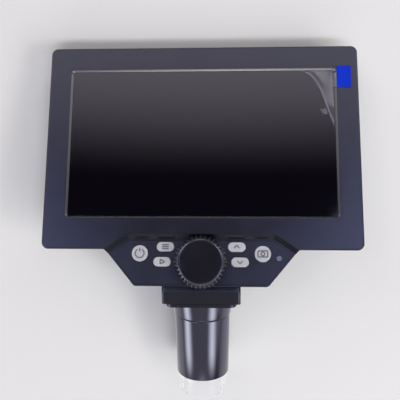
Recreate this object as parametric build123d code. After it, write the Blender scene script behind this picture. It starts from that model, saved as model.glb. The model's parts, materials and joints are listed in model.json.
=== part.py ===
from build123d import *
import math
import os

# Head unit of a digital microscope with a screen: a wide screen housing with a hexagonal key
# panel under it, a short neck, and an optical tube with a clear hood, held in a stand by its collar.
# Units are millimetres. The row frame has +Z up the optical axis, +X to the right of someone facing
# the screen and +Y away from them. The origin is the middle of the collar that a stand clamps.
# Head pieces are drawn flat in the screen's own axes (x right, y up the screen, z out of the screen,
# with y = 0 at the housing's lower edge and z = 0 at its front face) and then leant back.

# ---- driving dimensions -------------------------------------------------------------------------
# Screen housing
lean = 23.0                 # degrees between the screen and the optical axis
bezel_side = 14.0           # plain bezel beside, above and below the window
bezel_top = 14.9
bezel_foot = 19.1
housing_depth = 24.0
housing_corner = 4.0
housing_edge = 1.0          # rounding of the front edge
side_taper = 0.085          # how far each side leans in towards the back, per mm of depth
back_chamfer = 4.5
chin_depth = 17.0           # the key panel's housing is shallower than the screen's
split_depth = 10.0          # parting line of bezel and rear cover, behind the front face
wall = 2.2
foot_y = -14.4              # housing's lower front edge in the row frame
foot_z = 38.2

# Screen window
window_width = 154.5
window_height = 87.0
window_corner = 1.0
bevel_run = 2.0
bevel_depth = 1.1
bevel_corner = 1.7          # at the bevel's outer edge
glass_recess = 1.4
glass_thick = 1.5
glass_margin = 1.5          # how far the cover glass reaches behind the bezel
glass_play = 0.15
film_thick = 0.15
film_inset = 0.45
tab_width = 13.2
tab_reach = 8.1             # blue tab lying on the bezel
tab_thick = 0.2
tab_headroom = 11.4         # lower edge of the tab under the window's top
tab_grip = 2.4              # how much of the film the tab is stuck to
tab_clear = 0.02            # from the bezel's face
tab_play = 0.8              # from the bevel above it
lcd_side = 4.25             # frame of the panel beyond the window, beside it and above and below it
lcd_end = 3.5
cell_thick = 2.2
backlight_thick = 4.4
backlight_frame = 4.0       # raised rim round the tray's back
backlight_dish = 0.6

# Key panel
chin_half_top = 55.0
chin_half_bottom = 37.9
chin_drop = 20.4
chin_corner = 3.0
chin_edge = 0.5             # rounding round the key panel's edge
lip_half = 42.0
lip_rise = 8.85
panel_recess = 3.0
recess_run = 2.45
overlay_thick = 1.2
overlay_margin = 1.3
chin_floor = 2.0            # moulded floor under the overlay

# Buttons: centre x, centre y, and size across x and y
round_size = 9.3
round_x = 34.8
round_y = -2.0
oval_length = 10.1
oval_width = 5.5
oval_upper_x = 20.2
oval_upper_y = 1.8
oval_lower_x = 22.0
oval_lower_y = -6.7
button_proud = 1.1
button_round = 0.5          # rounding of the cap's edge
button_gap = 0.3
button_skirt = 0.9          # retaining brim under the panel
button_brim_thick = 0.8
button_travel = 0.7
light_radius = 1.5
light_x = 44.0
light_y = -4.4
light_proud = 0.35
light_brim = 0.4
mat_thick = 0.9
mat_rise = 6.0              # how far the mat and the board reach up behind the housing's foot
mat_inset = 1.2
key_board_thick = 1.4
drive_room = 1.1            # beside the rack arm
key_board_rise = 11.65
key_board_inset = 0.5
key_board_bridge = 7.6      # the board joins above this height, over the focus drive

# Focus knob and its drive
knob_y = -7.0
knob_radius = 15.15
knob_teeth = 36
knob_face_radius = 12.0
knob_face_rim = 0.4         # flat ring round the disc
knob_shoulder = 1.1         # from the disc's edge to the foot of the rim's bevel
knob_shoulder_drop = 0.7
knob_skirt = 1.6            # upright foot of the teeth, under their cone
notch_radius = 1.05
notch_out = 0.55            # the notch cutter's axis outside the knob's radius
notch_lean = 12.0           # degrees, so that the notches run out on the cone
knob_lift = 3.5             # gap under the toothed skirt
knob_height = 9.0           # above the key panel
knob_hub_radius = 8.0
knob_gap = 0.3
cap_thick = 1.2
cap_sink = 0.1              # disc's edge below the rim
cap_seat = 1.0              # knob's web between the disc and the shaft
cap_dish_radius = 60.0      # sphere that hollows the disc
cap_dish_rise = 0.5
shaft_radius = 2.0
shaft_play = 0.05
shaft_fit = 0.02            # what is pressed on the shaft
shaft_tail = 1.2
bush_radius = 4.0
bush_brim = 5.5
bush_brim_thick = 1.2
bush_length = 3.0           # behind the chin's floor
clip_radius = 3.8
clip_thick = 0.6
clip_gap = 0.15
clip_mouth = 2.4
pinion_module = 0.6
pinion_teeth = 12
pinion_face = 6.0
pinion_depth = 11.0         # pinion's middle behind the key panel
backlash = 0.12
pressure_angle = 20.0
tooth_tip = 0.9             # addendum and dedendum, in modules
tooth_root = 1.25
focus_travel = 5.5          # lens carriage, each way

# Neck
neck_width = 45.0
neck_front = -18.9
neck_back = 19.6
neck_corner = 5.0
neck_wall = 2.4
neck_shoulder = 7.7         # where the neck's front starts to slope back
neck_edge = 1.2             # rounding of that shoulder
neck_slope_run = 3.0
neck_slope_rise = 5.0
neck_back_y = 14.0          # where the back meets the cover, up the screen
neck_back_drop = 8.0
throat_reach = 12.0         # opening between neck and housing, front to back each way
throat_side = 1.6
throat_rise = 11.0
flange_width = 40.4
flange_length = 37.0
flange_thick = 2.4
flange_corner = 4.0

# Optical tube, bottom to top of what a stand and a user see
collar_radius = 17.2
collar_length = 9.4
groove = 0.5
seat_play = 0.02
tube_top_radius = 16.5
tube_end_radius = 15.9
tube_length = 38.3
tube_rim = 0.8
spigot_radius = 15.6
bore_radius = 14.2
end_bore_radius = 14.6       # wider mouth that takes the light ring and the hood
hood_play = 0.06
hood_end_radius = 14.1
hood_wall = 1.2
hood_reach = 11.7
hood_grip = 6.0
hood_bead = 0.35
hood_bead_height = 1.2

# Optics
carriage_play = 0.08
carriage_length = 18.0
carriage_top = -7.4
carriage_land = 3.0         # height of each guide land
carriage_relief = 0.6       # between the lands
carriage_wall = 2.0
carriage_web = 3.0
barrel_radius = 9.5
barrel_length = 24.0
barrel_stop = 1.0           # lip that stops the lenses
lens_radius = 7.0
lens_thick = 3.2
lens_seat = 1.2             # lens below the barrel's end
lens_bulge = 22.0
led_board_gap = 0.3         # above the hood's end
led_board_thick = 1.2
led_board_hole = 9.8
led_count = 8
led_margin = 0.2            # from the board's hole
led_size = 2.8
led_height = 0.8
sensor_board_width = 37.2
sensor_board_length = 18.0
sensor_board_thick = 1.2
sensor_board_corner = 1.5
sensor_post = 3.6
sensor_post_radius = 2.2
sensor_post_out = 2.4       # from the bore
sensor_post_y = 3.5
sensor_holder = 9.0
sensor_holder_wall = 1.2
sensor_holder_height = 3.2
sensor_width = 4.6
sensor_length = 4.0
sensor_thick = 0.8
arm_y = -4.25               # middle of the carriage's rack arm
arm_depth = 3.5
arm_inner = 9.9
arm_outer = 12.4
arm_room = 0.6
rack_tip = 0.75             # rack's addendum, in modules
rack_spare = 4.2            # rack beyond its travel at each end, in modules

# Electronics behind the screen
main_board_width = 96.0
main_board_gap = 0.8        # to the cover's side wall
main_board_foot = 33.0
main_board_headroom = 30.0
main_board_thick = 1.6
main_board_hole = 4.0       # screw holes from the board's edges
board_post_radius = 2.6
board_post = 5.0
battery_gap = 12.25         # beside the main board
battery_side = 9.25         # to the housing's side
battery_foot = 33.0
battery_headroom = 22.0
battery_thick = 6.5
battery_corner = 2.0
battery_edge = 1.5
battery_tape = 0.5
tape_side = 5.0             # tape's edge inside the battery's
tape_end = 7.0
socket_room = 0.4           # opening round a socket
socket_y = 50.0
socket_sink = 0.5           # mouth inside the cover's side wall
socket_width = 7.6
socket_height = 2.8
socket_length = 5.6
socket_shell = 0.35
socket_tongue = 0.6
tongue_side = 1.2
card_y = 74.0
card_sink = 1.2
card_width = 12.2
card_height = 1.9
card_length = 14.5
card_shell = 0.4
card_back = 1.0

# Screws
screw_radius = 1.2
screw_head_radius = 2.3
screw_head_thick = 1.6
screw_play = 0.06
cross_length = 2.6          # cross recess of the heads
cross_width = 0.6
cross_depth = 0.6
boss_radius = 2.8
screw_inset = 8.2
cover_screw_side = 9.5
screw_sink = 4.0            # seat of the cover screws inside their wells
well_wall = 1.5
thread_reach = 4.5          # how far a cover screw bites into the bezel's boss
chin_thread_spare = 1.5
chin_screw_inset = 7.0
key_screw_inner_x = 27.5
key_screw_inner_y = 9.3
key_screw_outer_x = 46.5
key_screw_outer_y = 6.5
key_screw_length = 3.4
main_screw_length = 4.5
flange_screw_inset = 3.2
flange_thread = 5.5
sensor_screw_length = 4.0
neck_screw_inset = 4.5
neck_screw_y = 9.3
neck_low_y = -11.0
neck_boss = 6.0
neck_thread = 4.5
flange_boss = 7.0
blind_end = 0.8             # solid end left in a boss, or drilled into the floor over it
over = 1.0                  # by which cutters overshoot
least_corner = 0.6          # of an outline drawn inside another

# ---- worked-out sizes ---------------------------------------------------------------------------
lean_sin = math.sin(math.radians(lean))
lean_cos = math.cos(math.radians(lean))
head = Plane(origin=(0, foot_y, foot_z), x_dir=(1, 0, 0), z_dir=(0, -lean_cos, lean_sin))
housing_width = window_width + 2 * bezel_side
housing_height = bezel_foot + window_height + bezel_top
housing_y = housing_height / 2
window_y = bezel_foot + window_height / 2
lcd_width = window_width + 2 * lcd_side
lcd_height = window_height + 2 * lcd_end
panel_z = -panel_recess
floor_z = panel_z - overlay_thick
chin_under = floor_z - chin_floor
glass_z = -glass_recess
cell_z = glass_z - glass_thick
backlight_z = cell_z - cell_thick
board_back = -housing_depth + wall
main_board_z = board_back + board_post + main_board_thick
board_side = side_taper * -main_board_z - housing_width / 2
main_board_x = board_side + wall + main_board_gap + main_board_width / 2
main_board_height = housing_height - main_board_foot - main_board_headroom
main_board_y = main_board_foot + main_board_height / 2
battery_left = main_board_x + main_board_width / 2 + battery_gap
battery_right = housing_width / 2 - battery_side
battery_height = housing_height - battery_foot - battery_headroom
battery_middle = ((battery_left + battery_right) / 2, battery_foot + battery_height / 2)
button_under = chin_under - button_gap - button_brim_thick
mat_z = button_under - button_travel - button_gap / 2
key_board_z = mat_z - mat_thick
pinion_radius = pinion_module * pinion_teeth / 2
tooth_pitch = math.pi * pinion_module
collar_top = collar_length / 2
tube_top = -collar_top - groove
tube_end = tube_top - tube_length
hood_end = tube_end - hood_reach
flange_top = collar_top + flange_thick
shaft_end = panel_z - pinion_depth - pinion_face / 2 - shaft_tail
knob_top = panel_z + knob_height
shaft_top = knob_top - cap_thick - cap_seat
led_board_z = tube_end + hood_grip + led_board_gap
sensor_z = flange_top + sensor_post
barrel_low = carriage_top - (carriage_length + barrel_length) / 2
screw_hole = screw_radius + screw_play
head_hole = screw_head_radius + 3 * screw_play
cover_post_radius = head_hole + well_wall
cover_seat = screw_sink - housing_depth
chin_seat = screw_sink - chin_depth


def slab(outline, top, thick):
    """A plate of the outline, from z = top down by thick."""
    return Pos(0, 0, top - thick) * extrude(outline, thick, dir=(0, 0, 1))


def on_head(shape):
    return head * shape


def both_sides(x, y):
    return ((-x, y), (x, y))


def save(name, shape):
    export_step(shape, f"parts/{name}.step")


# ---- outlines in the screen's plane ---------------------------------------------------------------
def housing_outline(inset=0.0):
    corner = max(housing_corner - inset, least_corner)
    return Pos(0, housing_y) * RectangleRounded(
        housing_width - 2 * inset, housing_height - 2 * inset, corner)


def side_lean(z):
    """How far the housing's sides have leaned in at a depth."""
    return -side_taper * z


def housing_form(inset, top, low):
    """The housing between two depths, its sides leaning in; with an inset, its hollow."""
    return loft([Pos(0, 0, z) * housing_outline(inset + side_lean(z)) for z in (low, top)], ruled=True)


def chin_outline(inset=0.0, rise=30.0):
    """The hexagon's lower half, carried up behind the housing's foot by rise."""
    slant = (chin_half_top - chin_half_bottom) / chin_drop
    side = math.hypot(1, slant) * inset
    top = chin_half_top - side
    low = chin_half_bottom + slant * inset - side
    shape = Polygon((-top, 0), (-low, inset - chin_drop), (low, inset - chin_drop), (top, 0),
                    (top, rise), (-top, rise), align=None)
    lowest = shape.vertices().sort_by(Axis.Y)[:2]
    return fillet(lowest, max(chin_corner - inset, least_corner))


def lip_outline(shift):
    """The lip's straight top and its two slants, drawn on past the chin and moved in by shift."""
    slant_x = chin_half_top - lip_half
    slope = math.hypot(slant_x, lip_rise)
    top = lip_rise - shift
    half = lip_half - shift * (slope - slant_x) / lip_rise
    reach = 3
    side = half + reach * slant_x
    return Polygon((-half, top), (half, top), (side, top - reach * lip_rise), (side, -3 * chin_drop),
                   (-side, -3 * chin_drop), (-side, top - reach * lip_rise), align=None)


def panel_outline(inset):
    """The key panel's floor: the foot of the sloped wall above, the chin's edge below."""
    return lip_outline(inset + recess_run) & chin_outline(inset)


def recess_cutter():
    """A hexagonal funnel whose walls slope in from the lip to the panel."""
    return loft([Pos(0, 0, over) * lip_outline(-recess_run * over / panel_recess),
                 Pos(0, 0, panel_z) * lip_outline(recess_run)], ruled=True)


def window_outline(grow=0.0):
    """The window, or with grow a section of its bevel."""
    corner = window_corner + (bevel_corner - window_corner) * grow / bevel_run
    return Pos(0, window_y) * RectangleRounded(window_width + 2 * grow, window_height + 2 * grow, corner)


def window_cutter():
    mouth = Pos(0, 0, over) * window_outline(bevel_run * (1 + over / bevel_depth))
    throat = Pos(0, 0, -bevel_depth) * window_outline()
    return loft([mouth, throat], ruled=True) + slab(window_outline(), 0, split_depth)


def button_outline(kind, grow=0.0):
    if kind == "round":
        return Circle(round_size / 2 + grow)
    return SlotOverall(oval_length + 2 * grow, oval_width + 2 * grow)


buttons = {
    "button_left_outer": ("round", -round_x, round_y),
    "button_left_upper": ("oval", -oval_upper_x, oval_upper_y),
    "button_left_lower": ("oval", -oval_lower_x, oval_lower_y),
    "button_right_upper": ("oval", oval_upper_x, oval_upper_y),
    "button_right_lower": ("oval", oval_lower_x, oval_lower_y),
    "button_right_outer": ("round", round_x, round_y),
}


def panel_holes():
    """Cutters for the six buttons, the light and the shaft bush, right through the key panel."""
    top = panel_z + over
    thick = top - chin_under + over
    cutters = [Pos(x, y) * slab(button_outline(kind, button_gap), top, thick)
               for kind, x, y in buttons.values()]
    cutters.append(Pos(light_x, light_y) * slab(Circle(light_radius + screw_play), top, thick))
    cutters.append(Pos(0, knob_y) * slab(Circle(bush_radius + screw_play), top, thick))
    return cutters


# ---- where screws go ------------------------------------------------------------------------------
def four_corners(x, y, middle=(0, 0)):
    return tuple((middle[0] + sx * x, middle[1] + sy * y) for sx in (-1, 1) for sy in (-1, 1))


cover_screw_spots = (both_sides(housing_width / 2 - cover_screw_side, housing_height - screw_inset)
                     + both_sides(housing_width / 2 - cover_screw_side, screw_inset)
                     + both_sides(housing_width / 5, housing_height - screw_inset))
chin_screw_spots = both_sides(chin_half_bottom - chin_screw_inset, chin_screw_inset - chin_drop)
key_screw_spots = (both_sides(key_screw_inner_x, key_screw_inner_y)
                   + both_sides(key_screw_outer_x, key_screw_outer_y))
main_screw_spots = four_corners(main_board_width / 2 - main_board_hole,
                                main_board_height / 2 - main_board_hole, (main_board_x, main_board_y))
flange_screw_spots = four_corners(flange_width / 2 - flange_screw_inset,
                                  flange_length / 2 - flange_screw_inset)
sensor_screw_spots = four_corners(bore_radius + sensor_post_out, sensor_post_y)
neck_screw_spots = both_sides(neck_width / 2 - neck_screw_inset, neck_screw_y)
neck_low_spots = both_sides(neck_width / 2 - neck_screw_inset, neck_low_y)


def screw(seat, length, into):
    """A pan head with a cross recess and a shank; the shank leaves the seat towards into (+1 or -1)."""
    cap = Pos(0, 0, seat - into * screw_head_thick / 2) * Cylinder(screw_head_radius, screw_head_thick)
    shank = Pos(0, 0, seat + into * length / 2) * Cylinder(screw_radius, length)
    bar = Box(cross_length, cross_width, 2 * cross_depth)
    return cap + shank - Pos(0, 0, seat - into * screw_head_thick) * (bar + Rot(0, 0, 90) * bar)


def screws(spots, seat, length, into):
    one = screw(seat, length, into)
    return Compound(children=[Pos(x, y) * one for x, y in spots])


def pin(spot, radius, low, high):
    """A round post or cutter between two depths."""
    return Pos(spot[0], spot[1], (low + high) / 2) * Cylinder(radius, high - low)


# ---- screen housing -------------------------------------------------------------------------------
def front_bezel():
    lowest = -split_depth
    plate = housing_form(0, 0, lowest)
    plate = fillet(plate.faces().sort_by(Axis.Z)[-1].edges(), housing_edge)
    body = plate + slab(chin_outline(), 0, split_depth) - recess_cutter()
    panel_edges = body.edges().filter_by_position(Axis.Z, panel_z, panel_z)
    body = fillet([edge for edge in panel_edges if edge.center().Y < 0], chin_edge)
    body -= slab(panel_outline(overlay_margin - screw_play), panel_z, overlay_thick)
    inner = wall + side_lean(lowest)
    hollow = housing_outline(inner) + chin_outline(wall, lip_rise + wall)
    body -= slab(hollow, chin_under, split_depth + chin_under)
    screen_foot = lip_rise + wall
    screen_hall = Pos(0, (screen_foot + housing_height - inner) / 2) * Rectangle(
        housing_width - 2 * inner, housing_height - inner - screen_foot)
    body -= slab(screen_hall, cell_z, split_depth + cell_z)
    glass_room = 2 * (glass_margin + glass_play)
    body -= slab(Pos(0, window_y) * Rectangle(window_width + glass_room, window_height + glass_room),
                 glass_z, glass_thick)
    body -= window_cutter()
    for spot in cover_screw_spots:
        body += pin(spot, boss_radius, lowest, cell_z)
    for spot in chin_screw_spots + key_screw_spots:
        low = lowest if spot in chin_screw_spots else key_board_z
        body += pin(spot, boss_radius, low, chin_under)
    for spot in cover_screw_spots + chin_screw_spots + key_screw_spots:
        body -= pin(spot, screw_hole, lowest - over, chin_under + blind_end)
    for cutter in panel_holes():
        body -= cutter
    return body


def cover_form(inset):
    """The rear cover's outer form, or with an inset its hollow: back edges cut off, chin shallower."""
    slant = back_chamfer - 0.6 * inset
    low = inset - housing_depth
    shoulder = low + slant
    sides = housing_form(inset, -split_depth, shoulder)
    back = loft([Pos(0, 0, shoulder) * housing_outline(inset + side_lean(shoulder)),
                 Pos(0, 0, low) * housing_outline(inset + side_lean(shoulder) + slant)], ruled=True)
    chin = slab(chin_outline(inset, lip_rise + wall), -split_depth, chin_depth - inset - split_depth)
    return sides + back + chin


def rear_cover():
    outer = cover_form(0)
    body = outer - cover_form(wall)
    for spot in cover_screw_spots:
        body += pin(spot, cover_post_radius, -housing_depth, -split_depth) & outer
    for spot in chin_screw_spots:
        body += pin(spot, cover_post_radius, -chin_depth, -split_depth)
    for spot in main_screw_spots:
        body += pin(spot, board_post_radius, board_back, board_back + board_post)
        body -= pin(spot, screw_hole, board_back + blind_end, board_back + board_post)
    for spot in cover_screw_spots + chin_screw_spots:
        seat = cover_seat if spot in cover_screw_spots else chin_seat
        body -= pin(spot, screw_hole, -housing_depth - over, over - split_depth)
        body -= pin(spot, head_hole, -housing_depth - over, seat)
    for spot in neck_screw_spots + neck_low_spots:
        body -= pin(spot, screw_hole, -housing_depth - over, over - split_depth)
    side = board_side + wall / 2
    for y, width, height in ((socket_y, socket_width, socket_height), (card_y, card_width, card_height)):
        body -= Pos(side, y, main_board_z + height / 2) * Box(
            2 * wall, width + socket_room, height + socket_room)
    return on_head(body) - throat()


def control_overlay():
    body = slab(panel_outline(overlay_margin), panel_z, overlay_thick)
    for cutter in panel_holes():
        body -= cutter
    return body


def cover_glass():
    return slab(Pos(0, window_y) * Rectangle(window_width + 2 * glass_margin,
                                             window_height + 2 * glass_margin), glass_z, glass_thick)


def screen_film():
    return slab(Pos(0, window_y) * Rectangle(window_width - 2 * film_inset, window_height - 2 * film_inset),
                glass_z + film_thick, film_thick)


def film_pull_tab():
    """A strip that is stuck on the film, climbs the bevel and ends in a wider flap on the bezel."""
    inner = window_width / 2
    film_top = glass_z + film_thick
    lift = film_top + 0.25      # where it leaves the film for the bevel
    rim = inner + bevel_run
    under = [(inner - tab_grip, film_top), (inner - film_inset, film_top), (inner - 0.1, lift),
             (rim, tab_clear), (rim + over, tab_clear)]
    upper = [(rim + over, tab_clear + tab_thick), (rim - 0.1, tab_clear + tab_thick),
             (inner - 0.4, lift + tab_thick), (inner - tab_grip, film_top + tab_thick)]
    low = bezel_foot + window_height - tab_headroom
    side = Plane(origin=(0, low, 0), x_dir=(1, 0, 0), z_dir=(0, -1, 0))
    climb = extrude(side * Polygon(*under, *upper, align=None), tab_play - tab_headroom)
    flap = Pos(rim + tab_reach / 2, low + tab_width / 2) * Rectangle(tab_reach, tab_width)
    return climb + slab(flap, tab_clear + tab_thick, tab_thick)


def lcd_cell():
    return slab(Pos(0, window_y) * Rectangle(lcd_width, lcd_height), cell_z, cell_thick)


def backlight_tray():
    tray = slab(Pos(0, window_y) * Rectangle(lcd_width, lcd_height), backlight_z, backlight_thick)
    floor = Rectangle(lcd_width - 2 * backlight_frame, lcd_height - 2 * backlight_frame)
    dish = slab(Pos(0, window_y) * floor, backlight_z - backlight_thick + backlight_dish, backlight_dish)
    return tray - dish


# ---- keys -----------------------------------------------------------------------------------------
def button(kind):
    top = panel_z + button_proud
    cap = slab(button_outline(kind), top, top - button_under)
    cap = fillet(cap.faces().sort_by(Axis.Z)[-1].edges(), button_round)
    brim = slab(button_outline(kind, button_skirt), button_under + button_brim_thick, button_brim_thick)
    return cap + brim


def key_outline(inset, rise, bridge, hole):
    """Runs under the keys on both sides and leaves the focus drive free in the middle."""
    low = -2 * chin_drop
    middle = Pos(0, (bridge + low) / 2) * Rectangle(2 * (arm_outer + drive_room), bridge - low)
    shape = chin_outline(inset, rise) - middle
    for spot in chin_screw_spots:
        shape -= Pos(*spot) * Circle(cover_post_radius + button_gap)
    for spot in key_screw_spots:
        shape -= Pos(*spot) * Circle(hole)
    return shape


def key_mat():
    shape = key_outline(wall + mat_inset, mat_rise, 2 * mat_rise, boss_radius + button_gap)
    shape -= Pos(light_x, light_y) * Circle(light_radius + light_brim)
    return slab(shape, mat_z, mat_thick)


def key_board():
    shape = key_outline(wall + key_board_inset, key_board_rise, key_board_bridge, screw_hole)
    return slab(shape, key_board_z, key_board_thick)


def light_pipe():
    spot = (light_x, light_y)
    stem = pin(spot, light_radius, key_board_z, panel_z + light_proud)
    stem = fillet(stem.faces().sort_by(Axis.Z)[-1].edges(), 0.8 * light_proud)
    return stem + pin(spot, light_radius + light_brim - screw_play, mat_z, chin_under - screw_play)


# ---- focus knob and drive ---------------------------------------------------------------------------
def focus_knob():
    """A toothed cone on a skirt, hollowed for the disc, with a hub that the shaft is pressed into."""
    skirt = panel_z + knob_lift
    hub = panel_z + knob_gap
    profile = Polygon((0, hub), (knob_hub_radius, hub), (knob_hub_radius, skirt), (knob_radius, skirt),
                      (knob_radius, skirt + knob_skirt),
                      (knob_face_radius + knob_shoulder, knob_top - knob_shoulder_drop),
                      (knob_face_radius + knob_face_rim, knob_top), (0, knob_top), align=None)
    body = revolve(Plane.XZ * profile, Axis.Z)
    notch = Pos(knob_radius + notch_out, 0, (skirt + knob_top) / 2) * Rot(0, -notch_lean, 0) * Cylinder(
        notch_radius, 2 * knob_height)
    body -= [Rot(0, 0, (i + 0.5) * 360 / knob_teeth) * notch for i in range(knob_teeth)]
    body -= pin((0, 0), knob_face_radius, knob_top - cap_thick, knob_top + over)
    body -= pin((0, 0), shaft_radius + shaft_fit, hub - over, shaft_top)
    return Pos(0, knob_y) * body


def knob_cap():
    disc = pin((0, 0), knob_face_radius - shaft_play, knob_top - cap_thick, knob_top - cap_sink)
    hollow = Pos(0, 0, knob_top - cap_dish_rise + cap_dish_radius) * Sphere(cap_dish_radius)
    return Pos(0, knob_y) * (disc - hollow)


def knob_shaft():
    return pin((0, knob_y), shaft_radius, shaft_end, shaft_top)


def shaft_bush():
    low = chin_under - bush_length
    bush = pin((0, knob_y), bush_radius, low, panel_z)
    bush += pin((0, knob_y), bush_brim, chin_under - bush_brim_thick, chin_under)
    return bush - pin((0, knob_y), shaft_radius + shaft_play, low - over, panel_z + over)


def shaft_clip():
    high = chin_under - bush_length - clip_gap
    low = high - clip_thick
    ring = pin((0, 0), clip_radius, low, high)
    ring -= pin((0, 0), shaft_radius + shaft_fit, low - over, high + over)
    mouth = Pos(0, -clip_radius, high) * Box(clip_mouth, 2 * clip_radius, 4 * clip_thick)
    return Pos(0, knob_y) * (ring - mouth)


def involute_half(radius):
    """Half a tooth's thickness at a radius, from the involute of the tooth."""
    pressure = math.radians(pressure_angle)
    base = pinion_radius * math.cos(pressure)
    at = math.acos(min(base / radius, 1.0))
    half_angle = math.pi / (2 * pinion_teeth) + math.tan(pressure) - pressure - (math.tan(at) - at)
    return radius * half_angle - backlash / 4


def pinion():
    top = panel_z - pinion_depth + pinion_face / 2
    base = pinion_radius * math.cos(math.radians(pressure_angle))
    tip = pinion_radius + tooth_tip * pinion_module
    root = pinion_radius - tooth_root * pinion_module
    radii = [base, pinion_radius, (pinion_radius + tip) / 2, tip]
    foot = involute_half(base) - 0.08 * pinion_module
    flank = [(0.9 * root, foot), (root, foot)] + [(r, involute_half(r)) for r in radii]
    tooth = Polygon(*flank, *[(x, -y) for x, y in reversed(flank)], align=None)
    body = slab(Circle(root), top, pinion_face)
    body += [Rot(0, 0, i * 360 / pinion_teeth) * slab(tooth, top, pinion_face) for i in range(pinion_teeth)]
    body -= pin((0, 0), shaft_radius + shaft_fit, top - pinion_face - over, top + over)
    return Pos(0, knob_y) * body


# ---- neck -----------------------------------------------------------------------------------------
def spot_in_row(y, z):
    """Row-frame (Y, Z) of a point in the head's own axes."""
    return (foot_y + y * lean_sin - z * lean_cos, foot_z + y * lean_cos + z * lean_sin)


def neck_profile(inset=0.0):
    """Side view of the neck, drawn on into the housing; with an inset, of its hollow."""
    shoulder = flange_top + neck_shoulder
    back_top = spot_in_row(neck_back_y, -housing_depth)
    front = neck_front + inset
    back = neck_back - inset
    low = flange_top - (over if inset else 0)
    shape = Polygon((front, low), (back, low), (back, back_top[1] - neck_back_drop - inset),
                    (back_top[0] - inset, back_top[1] - 1.3 * inset),
                    spot_in_row(neck_back_y / 2, -housing_depth / 2),
                    spot_in_row(-chin_drop / 2, -housing_depth / 3),
                    (front + neck_slope_run, shoulder + neck_slope_rise), (front, shoulder), align=None)
    foremost = shape.vertices().sort_by(Axis.X)[:2]
    return fillet(foremost.sort_by(Axis.Y)[-1], neck_edge)


def neck_block(width, inset=0.0):
    return extrude(Plane.YZ * neck_profile(inset), width / 2, both=True)


def head_envelope():
    front = housing_form(0, 0, -split_depth) + slab(chin_outline(), 0, split_depth)
    return on_head(cover_form(0) + front)


def throat():
    """The way for the rack arm and the ribbon between neck and housing."""
    high = spot_in_row(throat_rise, -housing_depth)[1]
    return Pos(0, 0, (flange_top + high) / 2) * Box(
        2 * (arm_outer + throat_side), 2 * throat_reach, high - flange_top)


def neck_housing():
    outer = neck_block(neck_width)
    outer = fillet(outer.edges().filter_by(Axis.Z), neck_corner)
    body = outer - neck_block(neck_width - 2 * neck_wall, neck_wall)
    bosses = [(spot, -housing_depth) for spot in neck_screw_spots]
    bosses += [(spot, -chin_depth) for spot in neck_low_spots]
    for spot, face in bosses:
        body += on_head(pin(spot, boss_radius, face - neck_boss, face)) & outer
    for x, y in flange_screw_spots:
        body += pin((x, y), boss_radius, flange_top, flange_top + flange_boss) & outer
    body -= head_envelope()
    for spot, face in bosses:
        body -= on_head(pin(spot, screw_hole, face - neck_boss + blind_end, face + over))
    for x, y in flange_screw_spots:
        body -= pin((x, y), screw_hole, flange_top - over, flange_top + flange_boss - blind_end)
    return body


def neck_flange():
    plate = extrude(RectangleRounded(flange_width, flange_length, flange_corner), flange_thick)
    body = Pos(0, 0, collar_top) * plate
    for spot in sensor_screw_spots:
        body += pin(spot, sensor_post_radius, flange_top, flange_top + sensor_post)
        body -= pin(spot, screw_hole, collar_top + blind_end, flange_top + sensor_post)
    for spot in flange_screw_spots:
        body -= pin(spot, screw_hole, collar_top - over, flange_top + over)
    return body - pin((0, 0), spigot_radius + seat_play, collar_top - over, flange_top + over)


# ---- optical tube -----------------------------------------------------------------------------------
def clamp_collar():
    ring = pin((0, 0), collar_radius, -collar_top, collar_top)
    return ring - pin((0, 0), spigot_radius + seat_play, -collar_top - over, collar_top + over)


def lens_tube():
    """Tapered barrel with a spigot that carries the collar and seats in the flange."""
    step = led_board_z + led_board_thick
    profile = Polygon((bore_radius, flange_top), (spigot_radius, flange_top), (spigot_radius, tube_top),
                      (tube_top_radius, tube_top), (tube_end_radius, tube_end), (end_bore_radius, tube_end),
                      (end_bore_radius, step), (bore_radius, step), align=None)
    body = revolve(Plane.XZ * profile, Axis.Z)
    outer = [edge for edge in body.edges().filter_by(GeomType.CIRCLE)
             if min(abs(edge.radius - tube_end_radius), abs(edge.radius - tube_top_radius)) < seat_play]
    return fillet(outer, tube_rim / 2)


def clear_hood():
    top = tube_end + hood_grip
    grip = end_bore_radius - hood_play
    bead = hood_end_radius + hood_bead
    outside = [(grip, top), (grip, tube_end), (hood_end_radius, hood_end + hood_bead_height + hood_bead),
               (bead, hood_end + hood_bead_height), (bead, hood_end)]
    inside = [(hood_end_radius - hood_wall, hood_end), (grip - hood_wall, tube_end), (grip - hood_wall, top)]
    profile = Polygon(*outside, *inside, align=None)
    return revolve(Plane.XZ * profile, Axis.Z)


def led_ring_board():
    high = led_board_z + led_board_thick
    disc = pin((0, 0), end_bore_radius - hood_play, led_board_z, high)
    return disc - pin((0, 0), led_board_hole, led_board_z - over, high + over)


def light_chips():
    radius = led_board_hole + led_margin + led_size / 2
    chip = Pos(radius, 0, led_board_z - led_height / 2) * Box(led_size, led_size, led_height)
    return Compound(children=[Rot(0, 0, i * 360 / led_count) * chip for i in range(led_count)])


def carriage_ring():
    """Two guide lands joined by a thinner wall, with a web across its middle for the barrel."""
    outer = bore_radius - carriage_play
    low = carriage_top - carriage_length
    middle = (carriage_top + low) / 2
    lower_land, upper_land = low + carriage_land, carriage_top - carriage_land
    ring = pin((0, 0), outer, low, carriage_top)
    ring -= pin((0, 0), outer + over, lower_land, upper_land) - pin(
        (0, 0), outer - carriage_relief, lower_land, upper_land)
    ring -= pin((0, 0), outer - carriage_wall, low - over, carriage_top + over)
    web = pin((0, 0), outer - carriage_wall / 2, middle - carriage_web / 2, middle + carriage_web / 2)
    return ring + web - pin((0, 0), barrel_radius + seat_play, low - over, carriage_top + over)


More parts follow.
